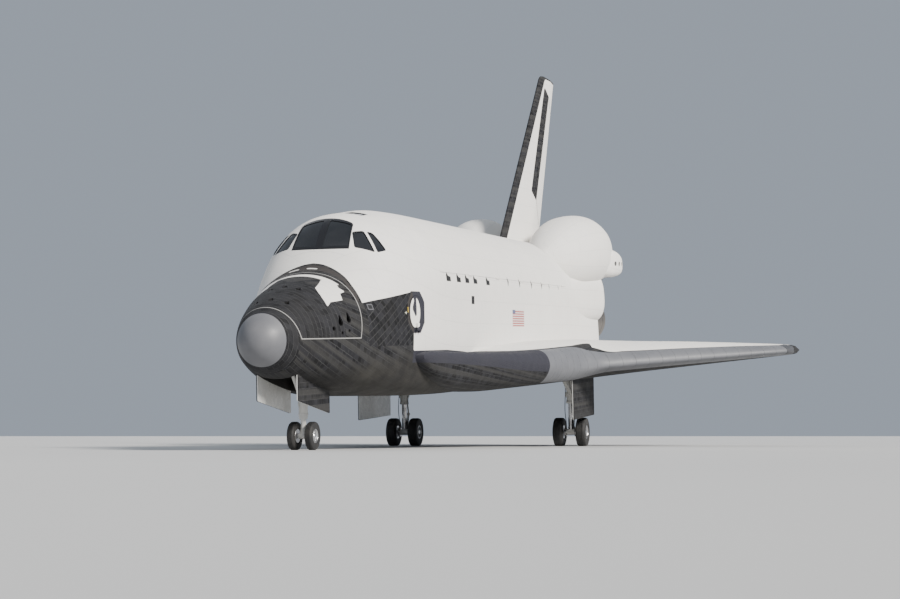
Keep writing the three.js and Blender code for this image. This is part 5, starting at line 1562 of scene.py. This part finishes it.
def rudder_ways(y, z):
    """How far points lie behind the rudder's hinge line, and how far up along it."""
    y, z = y - rudder_foot.y, z - rudder_foot.z
    sine, cosine = math.sin(RUDDER_SWEEP), math.cos(RUDDER_SWEEP)
    return y * cosine - z * sine, y * sine + z * cosine


def rudder_half(along):
    return blend(RUDDER_HALF, along / RUDDER_LENGTH)


def paint_fin(points):
    x, y, z = points.T
    front = FIN_BAND["front"] - (y - fin_row(z)[0])
    top = z - (FIN_TIP - FIN_BAND["top"])
    across, along = rudder_ways(y, z)
    strip = np.minimum.reduce([across + FIN_BAND["strip"], along + 0.05, RUDDER_LENGTH + 0.05 - along])
    return {**paint_flat(points, 1, 2), "dark": np.maximum.reduce([front, top, strip])}


FIN_BAND = {"front": 0.72, "top": 0.10, "strip": 0.72}
# The fin's rounded top: height from its tip, how far its front draws back, share of its thickness
FIN_CROWN = ((-0.13, 0.05, 0.97), (-0.06, 0.12, 0.88), (-0.02, 0.24, 0.75), (0, 0.42, 0.6))
heights = list(np.linspace(FIN_BASE, FIN_TIP - 0.2, 76))
fin_rings = [fin_ring(h) for h in heights]
fin_rings += [fin_ring(FIN_TIP + dz, cut, slim) for dz, cut, slim in FIN_CROWN]
fin_cove = loft([
    cove_ring(lambda u, v, a=a: rudder_point(u, v, a), rudder_half(a), 0.95, 0.95)
    for a in (-RUN, RUDDER_LENGTH + RUN)
])
fin_eye = bar(rudder_point(0, 0, -0.11), rudder_point(0, 0, RUDDER_LENGTH + 0.11), 0.0403)
fin = loft(fin_rings).cut(*tail_clear, fin_cove, fin_eye)
piece("fin_shell", fin, SKIN, paint_fin, replaces=["fin"], slot="white_tile")
tube = rounded_bar(rudder_point(0, 0, 0), rudder_point(0, 0, RUDDER_LENGTH), 0.0797)
tube = tube.join(bar(rudder_point(0, 0, -0.1), rudder_point(0, 0, RUDDER_LENGTH + 0.1), 0.0397))
piece("rudder_hinge_tube", tube, STEEL, body="rudder", replaces=["rudder_tube"], slot="hinge_steel")


def arc(radius, start, end, steps):
    turns = np.radians(np.linspace(start, end, steps + 1))
    return [(radius * math.cos(t), radius * math.sin(t)) for t in turns]


COLLARS = {"port": (0.300, 5.500), "starboard": (0.440, 5.640)}


def speed_brake(own, other):
    def ring(along, chord):
        half = rudder_half(along)
        outline = [(chord, RUN / 2), (chord, TRAIL_HALF)]
        outline += [(chord * (1 - t), blend((TRAIL_HALF, half), t)) for t in np.linspace(0, 1, 9)[1:-1]]
        outline += arc(half, 90, 125, 10) + arc(half - 0.025, 125, 90, 10) + arc(0.095, 90, 4, 12)
        return [rudder_point(a, s, along) for a, s in outline]

    def collar(start, radius, extra):
        return bar(rudder_point(0, 0, start - extra), rudder_point(0, 0, start + 0.120 + extra), radius)

    rows = np.linspace(0, 1, 40)
    panel = loft([ring(t * RUDDER_LENGTH, blend(RUDDER_CHORD, t)) for t in rows])
    panel = panel.cut(*[collar(s, 0.125 + RUN, RUN) for s in other]).join(*[collar(s, 0.125, 0) for s in own])
    return panel.cut(*[collar(s, 0.0803, 0.005) for s in own])


def paint_rudder(points):
    across, along = rudder_ways(points[:, 1], points[:, 2])
    return {**paint_flat(points), "skin": tile_ways(across, along), "dark": 0.02 - across}


for word, other in (("port", "starboard"), ("starboard", "port")):
    panel = speed_brake(COLLARS[word], COLLARS[other])
    panel = panel if word == "port" else panel.flipped()
    node = "speed_brake_" + word
    piece(node + "_panel", panel, SKIN, paint_rudder, node, [node], "white_tile")

# The body flap under the engines
def all_dark(points):
    return paint_flat(points, dark=1.0)


flap_side = arc(FLAP_NOSE, 90, 270, 28) + [(FLAP_END - FLAP_HINGE, -0.022), (FLAP_END - FLAP_HINGE, 0.022)]
flap = loft([
    [(x, FLAP_HINGE + u, FLAP_HEIGHT + v) for u, v in flap_side]
    for x in np.linspace(-FLAP_HALF_SPAN, FLAP_HALF_SPAN, 20)
])
for x in FLAP_LUGS:
    reach = 0.060 + RUN
    tall = (FLAP_HEIGHT - 0.4, FLAP_HEIGHT + 0.4)
    flap = flap.cut(box(x - reach, x + reach, FLAP_HINGE - 0.4, FLAP_HINGE + 0.11, *tall))
    flap = flap.join(crosswise((x, FLAP_HINGE, FLAP_HEIGHT), 0.15, 0.0447))
piece("body_flap_panel", flap, SKIN, all_dark, "body_flap", ["body_flap"], "black_tile")


# Landing gear
# A tyre's side as shares of its half width and of the way out from the rim, and a groove's depths
TYRE_SIDE = ((-0.93, 0.12), (-1.0, 0.45), (-0.97, 0.68))
TYRE_GROOVE = ((-0.045, 0), (-0.035, 0.014), (0.035, 0.014), (0.045, 0))
PATCH_HEIGHT = 0.0006  # of the flat patches that the tyres stand on, above the floor


def tyre_form(size, centre, side):
    radius, half, rim = size["radius"], size["half"], size["rim"]
    inner = rim + CAD_GAP
    shape = [(-0.80, inner), *[(a, blend((rim, radius), share)) for a, share in TYRE_SIDE]]
    shape += [(-0.86, radius * 0.955), (-0.70, radius * 0.985), (-0.5, radius)]
    left = [(a * half, r) for a, r in shape]
    grooves = [((at + by) * half, radius - deep) for at in (-0.30, 0.0, 0.30) for by, deep in TYRE_GROOVE]
    profile = left + grooves + [(-a, r) for a, r in left[::-1]]
    middle = centre + Vector((side * size["spacing"], 0, 0))
    outer = lathe(profile, middle, middle + Vector((1, 0, 0)), 96)
    floor = box(-FAR, FAR, -FAR, FAR, -1.0, PATCH_HEIGHT).moved(AIRFRAME.inverted())
    return outer.cut(bar(middle - Vector((1, 0, 0)), middle + Vector((1, 0, 0)), inner, sides=96), floor)


def rim_form(size, centre, axle):
    half, rim, spacing = size["half"], size["rim"], size["spacing"]
    ends = Vector((spacing, 0, 0))
    parts, cuts = [bar(centre - ends, centre + ends, axle - CAD_GAP)], []
    for side in (-1, 1):
        middle = centre + Vector((side * spacing, 0, 0))
        out = Vector((side, 0, 0))
        face, dish = 0.85 * half, 0.35 * half
        profile = [
            (-face, rim * 0.80), (-face, rim - 0.008), (-face + 0.008, rim), (face - 0.008, rim),
            (face, rim - 0.008), (face, rim * 0.88), (face - 0.012, rim * 0.84), (dish, rim * 0.78),
            (dish - 0.008, rim * 0.52), (dish + 0.020, rim * 0.44), (face - 0.02, rim * 0.38),
            (face - 0.006, rim * 0.30),
        ]
        parts.append(lathe(profile, middle, middle + out, 72))
        for t in round_turns(10):
            spot = middle + Vector((0, math.cos(t), math.sin(t))) * rim * 0.65
            cuts.append(bar(spot - out * 0.3 * half, spot + out * half, rim * 0.075, sides=16))
    return joined(parts).cut(*cuts)


def hub_bolts(size, centre, count=9):
    bolts = []
    for side in (-1, 1):
        middle = centre + Vector((side * (size["spacing"] + 0.35 * size["half"]), 0, 0))
        for t in round_turns(count, 0.5):
            spot = middle + Vector((0, math.cos(t), math.sin(t))) * size["rim"] * 0.50
            out = Vector((side, 0, 0))
            bolts.append(bar(spot - out * 0.02, spot + out * 0.022, 0.011, sides=6))
    return joined(bolts)


def tube_path(points, radius, sides=10):
    """A hose along a smooth line through the points."""
    points = [Vector(p) for p in points]
    fine = []
    for i in range(len(points) - 1):
        a, b = points[i], points[i + 1]
        before, after = points[max(i - 1, 0)], points[min(i + 2, len(points) - 1)]
        for t in np.linspace(0, 1, 9)[: 9 if i == len(points) - 2 else 8]:
            square, cube = 2 * before - 5 * a + 4 * b - after, 3 * a - before - 3 * b + after
            fine.append(0.5 * (2 * a + (b - before) * t + square * t**2 + cube * t**3))
    rings = []
    for i, p in enumerate(fine):
        way = (fine[min(i + 1, len(fine) - 1)] - fine[max(i - 1, 0)]).normalized()
        first = way.cross(Vector((0, 0.31, 0.95))).normalized()
        first, second = first * radius, way.cross(first) * radius
        rings.append([p + first * math.cos(t) + second * math.sin(t) for t in round_turns(sides)])
    return loft(rings)


# The legs' cylinders and the brakes, as distance along and radius
MAIN_CYLINDER = [
    (0, 0.150), (0.02, 0.165), (0.5, 0.165), (0.52, 0.178), (0.60, 0.178), (0.62, 0.165), (1.74, 0.165),
    (1.76, 0.180), (1.845, 0.180), (1.85, 0.165),
]
NOSE_CYLINDER = [
    (0, 0.12), (0.02, 0.130), (0.7, 0.130), (0.71, 0.142), (0.78, 0.142), (0.79, 0.130), (1.75, 0.130),
    (1.76, 0.14), (1.83, 0.14),
]
BRAKE = [(0.0, 0.12), (0.0, 0.185), (0.02, 0.20), (0.075, 0.20), (0.085, 0.18), (0.085, 0.12)]
# The brakes' hoses: out, aft and height
HOSE_WAY = [(0.17, -0.05, 0.5), (0.19, -0.08, -0.4), (0.20, -0.16, -1.1), (0.16, -0.14, -1.6)]
X, Y, Z = MAIN_AXLE
main_leg = [
    lathe(MAIN_CYLINDER, (X, Y, MAIN_WELL["ceiling"] - CAD_GAP), (X, Y, -0.85), 48),
    bar((X, Y, -1.86), (X, Y, Z), 0.120),
    crosswise((X, Y, Z), 0.235, 0.120, 0.02, 48),
    crosswise((X, Y, 0.74), 0.62, 0.105, 0.02, 40),
    box(X - 0.25, X + 0.25, Y - 0.110, Y + 0.110, 0.620, 0.860),
    rounded_bar((X, Y, -0.50), (X, Y - 2.4, MAIN_WELL["ceiling"] - 0.26), 0.085, 0.02, 40),
    box(X - 0.13, X + 0.13, Y - 2.54, Y - 2.26, MAIN_WELL["ceiling"] - 0.38, MAIN_WELL["ceiling"] - CAD_GAP),
    crosswise((X, Y, -0.50), 0.2, 0.10, 0.015),
]
knee = Vector((X, Y + 0.430, -1.270))
links = []
for dx in (-0.055, 0.055):
    for dy, height in ((0.12, -0.80), (0.06, -1.80)):
        links.append(bar((X + dx * 1.6, Y + dy, height), knee + Vector((dx * 0.9, 0, 0)), 0.036, 0.028))
links.append(rounded_bar(knee - Vector((0.09, 0, 0)), knee + Vector((0.09, 0, 0)), 0.055, 0.01))
links.append(crosswise((X, Y + 0.12, -0.80), 0.13, 0.055, 0.01))
links.append(crosswise((X, Y + 0.09, -1.80), 0.13, 0.055, 0.01))
main_eye = crosswise((X, Y, Z), 0.3, 0.0603)
strut = joined(main_leg + links).cut(main_eye)
pair("main_leg_{}_strut", strut, LEG_PAINT, replaces="main_leg_{}", slot="gear_paint")
piston = rounded_bar((X, Y, -0.83), (X, Y, -1.88), 0.105, 0.004, 48)
pair("main_leg_{}_piston", piston, STEEL, slot="hinge_steel")
brake_units = [lathe(BRAKE, (X + s * 0.165, Y, Z), (X + s * 1.165, Y, Z), 40) for s in (-1, 1)]
pair("main_brakes_{}", joined(brake_units), STEEL, slot="gear_paint")
hose_way = HOSE_WAY + [(0.15, -0.13, Z + 0.12)]
hoses = [tube_path([(X + s * out, Y + aft, height) for out, aft, height in hose_way], 0.014) for s in (-1, 1)]
pair("main_leg_{}_hoses", joined(hoses), HOSE, slot="gear_paint")
for_rims = rim_form(MAIN_TYRE, MAIN_AXLE, 0.060)
wheels, node = "main_wheels_{}", "main_wheel_rims_{}"
pair(node + "_forged", for_rims, RIM_METAL, None, wheels, node, "wheel_metal")
pair("main_wheel_bolts_{}", hub_bolts(MAIN_TYRE, MAIN_AXLE), STEEL, None, wheels, slot="wheel_metal")
for which, side in (("inner", -1), ("outer", 1)):
    node, tyre = "main_tyre_" + which + "_{}", tyre_form(MAIN_TYRE, MAIN_AXLE, side)
    pair(node + "_rubber", tyre, RUBBER, None, wheels, node, "tyre_rubber", 24)

X, Y, Z = NOSE_AXLE
STEER = {"top": 0.150, "sleeve_foot": -0.330, "piston": 0.078}
nose_leg = [
    lathe(NOSE_CYLINDER, (X, Y, NOSE_WELL["ceiling"] - CAD_GAP), (X, Y, STEER["sleeve_foot"]), 48),
    crosswise((0, Y, 1.09), 0.5, 0.085, 0.015, 40),
    rounded_bar((X, Y, 0.0), (X, Y - 1.25, NOSE_WELL["ceiling"] - 0.12), 0.060, 0.012),
    box(-0.10, 0.10, Y - 1.37, Y - 1.13, NOSE_WELL["ceiling"] - 0.23, NOSE_WELL["ceiling"] - CAD_GAP),
    crosswise((0, Y, 0.0), 0.14, 0.075, 0.012),
]
sleeve = bar((X, Y, STEER["top"] + 0.010), (X, Y, STEER["sleeve_foot"] - 0.05), 0.0783)
piece("nose_leg_strut", joined(nose_leg).cut(sleeve), LEG_PAINT, replaces=["nose_leg"], slot="gear_paint")
fork = bar((X, Y, STEER["sleeve_foot"] - CAD_GAP), (X, Y, STEER["sleeve_foot"] - 0.090), 0.125, sides=48)
fork = fork.join(
    bar((X, Y, STEER["top"]), (X, Y, Z), STEER["piston"] - CAD_GAP),
    crosswise((0, Y, Z), 0.140, 0.090, 0.012, 40),
    bar((X, Y, Z + 0.2), (X, Y, Z), 0.085, 0.10),
).cut(crosswise((0, Y, Z), 0.2, 0.0453))
piece("nose_fork_yoke", fork, LEG_PAINT, None, "nose_steering", ["nose_fork"], "gear_paint")
nose_rims = rim_form(NOSE_TYRE, NOSE_AXLE, 0.045)
piece("nose_rims_forged", nose_rims, RIM_METAL, None, "nose_wheels", ["nose_wheel_rims"], "wheel_metal")
piece("nose_wheel_bolts", hub_bolts(NOSE_TYRE, NOSE_AXLE, 8), STEEL, None, "nose_wheels", slot="wheel_metal")
for word, side in SIDES:
    node, tyre = "nose_tyre_" + word, tyre_form(NOSE_TYRE, NOSE_AXLE, side)
    piece(node + "_rubber", tyre, RUBBER, None, "nose_wheels", [node], "tyre_rubber", 24)

# Gear doors: plates with a tiled outside and a painted inside
DOOR_PLATE, DOOR_GAP, DOOR_PARTING = 0.050, 0.010, 0.035


def paint_upright(points):
    return paint_flat(points, 1, 2, 1.0)


def gear_door(name, corners, radius, inner_x, *cuts):
    """A hanging door from its corners in the side view, split into outer tiles and an inner panel."""
    start = inner_x + DOOR_GAP
    plate = side_prism(rounded(corners, radius), start, start + DOOR_PLATE).cut(*cuts)
    tiles, panel = (plate.meet(box(*sides, -FAR, FAR, -FAR, FAR)) for sides in (
        (inner_x + DOOR_PARTING, FAR), (-FAR, inner_x + DOOR_PARTING),
    ))
    node = name + "_{}"
    pair(node + "_tiles", tiles, SKIN, paint_upright, replaces=node, slot="black_tile")
    pair(node + "_panel", panel, LEG_PAINT, slot="gear_paint")


over_nose_door = box(-FAR, FAR, well_front - 0.01, well_back + 0.01, 0.9, FAR)
door_side = [(well_front, 0.170), (well_back, -0.280), (well_back, 1.300), (well_front, 1.300)]
gear_door("nose_gear_door", door_side, 0.05, well_half, hull_clear, over_nose_door)

front, back = MAIN_WELL["front"] + 0.010, MAIN_WELL["back"] - 0.010
door_side = [(front, 0.5), (front, -1.33), (back, -1.33), (back, 0.5)]
wing_clear = wing_form(0.0, -SKIN_CLEAR, 0.4)
gear_door("main_gear_door", door_side, 0.08, MAIN_WELL["outer"], wing_clear, space_above(0.4))

# Thin parts that lie on the fuselage's skin: vents, slots and the striped panel
def on_skin(outline, proud, depth=0.020, reach=0.4):
    """A thin plate that follows the port side's skin, from an outline in the side view."""
    aft = [p[0] for p in outline]
    front, back = min(aft) - reach, max(aft) + reach
    band = skin_band(front, back, (proud, 0.05, 120), (-depth, 0.1, 60))
    return band.meet(side_prism(outline, 0.3, FAR))


def vent_outline(aft, height, size=1.0):
    """A vent with a peaked front: its corners in the side view."""
    shape = [(0.0, -0.12), (0.0, 0.05), (0.10, 0.16), (0.24, 0.05), (0.46, 0.03), (0.46, -0.12)]
    return [(aft + y * size, height + z * size) for y, z in shape]


def slit_outline(aft, height, size):
    """A narrow slot that comes to a point behind."""
    return [(aft, height + 0.17 * size), (aft + 0.16 * size, height + 0.02), (aft, height - 0.17 * size)]


def rectangle(front, back, low, high):
    return [(front, low), (front, high), (back, high), (back, low)]


VENTS = (9.31, 10.44, 11.44, 12.46, 14.10)
SLITS = [(17.157, 1.0), (18.908, 1.0), (20.822, 1.0), (22.544, 0.9), (23.904, 0.6), (25.618, 0.5)]
VENT_HEIGHT, SLIT_HEIGHT = 3.735, 3.80
SQUARE_VENT = rectangle(12.10, 12.46, 2.93, 3.20)
NOSE_VENT = rectangle(4.02, 4.27, 2.66, 2.83)
NOSE_VENT_SLOT = rectangle(4.06, 4.23, 2.69, 2.80)
# The vents, slits and the nose vent's slot are thin plates finished in near-black painted shade, standing for
# openings.
for name, outlines, proud, finish, slot in (
    ("side_vents_{}", [vent_outline(y, VENT_HEIGHT) for y in VENTS], 0.003, HOLE_SHADE, "black_tile"),
    ("side_slits_{}", [slit_outline(y, SLIT_HEIGHT, s) for y, s in SLITS], 0.003, HOLE_SHADE, "black_tile"),
    ("side_square_vent_{}", [rounded(SQUARE_VENT, 0.03)], 0.003, HOLE_SHADE, "black_tile"),
    ("nose_side_vent_{}_frame", [rounded(NOSE_VENT, 0.03)], 0.006, VENT_GREY, "white_tile"),
    ("nose_side_vent_{}_slot", [rounded(NOSE_VENT_SLOT, 0.02)], 0.008, HOLE_SHADE, "black_tile"),
):
    pair(name, joined([on_skin(outline, proud) for outline in outlines]), finish, slot=slot)

# A yellow bar and a small pale arrow in front of the hatch
ARROW = [(5.90, 2.575), (5.90, 2.605), (5.97, 2.605), (5.97, 2.64), (6.04, 2.59), (5.97, 2.54), (5.97, 2.575)]
hatch_bar = on_skin(rectangle(6.085, 6.122, 2.60, 2.76), 0.003)
piece("hatch_bar_port", hatch_bar, YELLOW_MARK, slot="white_tile")
piece("hatch_arrow_port", on_skin(ARROW, 0.003), PALE_MARK, slot="white_tile")
STRIPED = {"front": 17.68, "back": 19.44, "low": 2.205, "high": 2.805}


def paint_stripes(points):
    skin = tile_ways(points[:, 1] - STRIPED["front"], points[:, 2] - STRIPED["low"])
    return {**paint_flat(points), "skin": skin}


striped = on_skin(rectangle(*STRIPED.values()), 0.003, 0.01)
piece("striped_panel_port", striped, STRIPES, paint_stripes, slot="white_blanket")

# Sockets in the belly that hold the shuttle from below
for name, (x, y, radius, foot) in {
    "forward_attach_fitting": (0, 4.480, 0.150, 0.215),
    "aft_attach_fitting_port": (2.200, 27.420, 0.190, -0.070),
    "aft_attach_fitting_starboard": (-2.200, 27.420, 0.190, -0.070),
}.items():
    profile = [(0, radius * 0.55), (0, radius - 0.012), (0.012, radius), (0.6, radius), (0.6, radius * 0.5)]
    socket = lathe(profile, (x, y, foot), (x, y, foot + 1), 48).cut(hull_clear)
    piece(name + "_socket", socket, STEEL, replaces=[name], slot="fitting_steel")

for form in forms:
    bpy.data.objects.remove(form)

# The stage, the light and the camera
FLOOR_RADIUS = 2500
bpy.ops.mesh.primitive_circle_add(vertices=128, radius=FLOOR_RADIUS, fill_type="NGON", location=(0, 0, 0))
floor = bpy.context.object
floor.name = "floor"
g = Graph("pale_floor")
tone = g.ramp(g.noise(0.05, 3, 0.5), 0.2, 0.8, 0.0, 1.0)
base = g.mix(tone, (0.52, 0.52, 0.52), (0.56, 0.56, 0.555))
floor.data.materials.append(g.finish(Base_Color=base, Roughness=g.ramp(tone, 0, 1, 0.75, 0.85)))

world = bpy.data.worlds.new("studio")
bpy.context.scene.world = world
world.use_nodes = True
sky = world.node_tree.nodes["Background"].inputs
sky["Color"].default_value = (0.62, 0.70, 0.82, 1.0)
sky["Strength"].default_value = 0.54


def soft_sun(name, towards, strength, spread, tone=(1, 1, 1)):
    """Light from the way given, with an edge as soft as the spread in degrees makes it."""
    lamp = bpy.data.lights.new(name, "SUN")
    lamp.energy = strength
    lamp.angle = math.radians(spread)
    lamp.color = tone
    obj = bpy.data.objects.new(name, lamp)
    obj.rotation_euler = Vector(towards).to_track_quat("Z", "Y").to_euler()
    bpy.context.scene.collection.objects.link(obj)


soft_sun("key", (62, -30, 42), 6.6, 14, (1.0, 0.96, 0.90))
soft_sun("fill", (-52, -50, 22), 0.16, 60, (0.92, 0.96, 1.0))
soft_sun("back", (-30, 60, 45), 0.45, 40)

CAMERA = {"place": (17.2, -59.0, 0.4), "azimuth": 16.15, "tilt": 4.7, "lens": 66.4}
lens = bpy.data.cameras.new("camera")
lens.lens = CAMERA["lens"]
lens.sensor_width = 36
lens.clip_end = 6000
camera = bpy.data.objects.new("camera", lens)
camera.location = CAMERA["place"]
camera.rotation_euler = (math.radians(90 + CAMERA["tilt"]), 0, math.radians(CAMERA["azimuth"]))
bpy.context.scene.collection.objects.link(camera)
bpy.context.scene.camera = camera
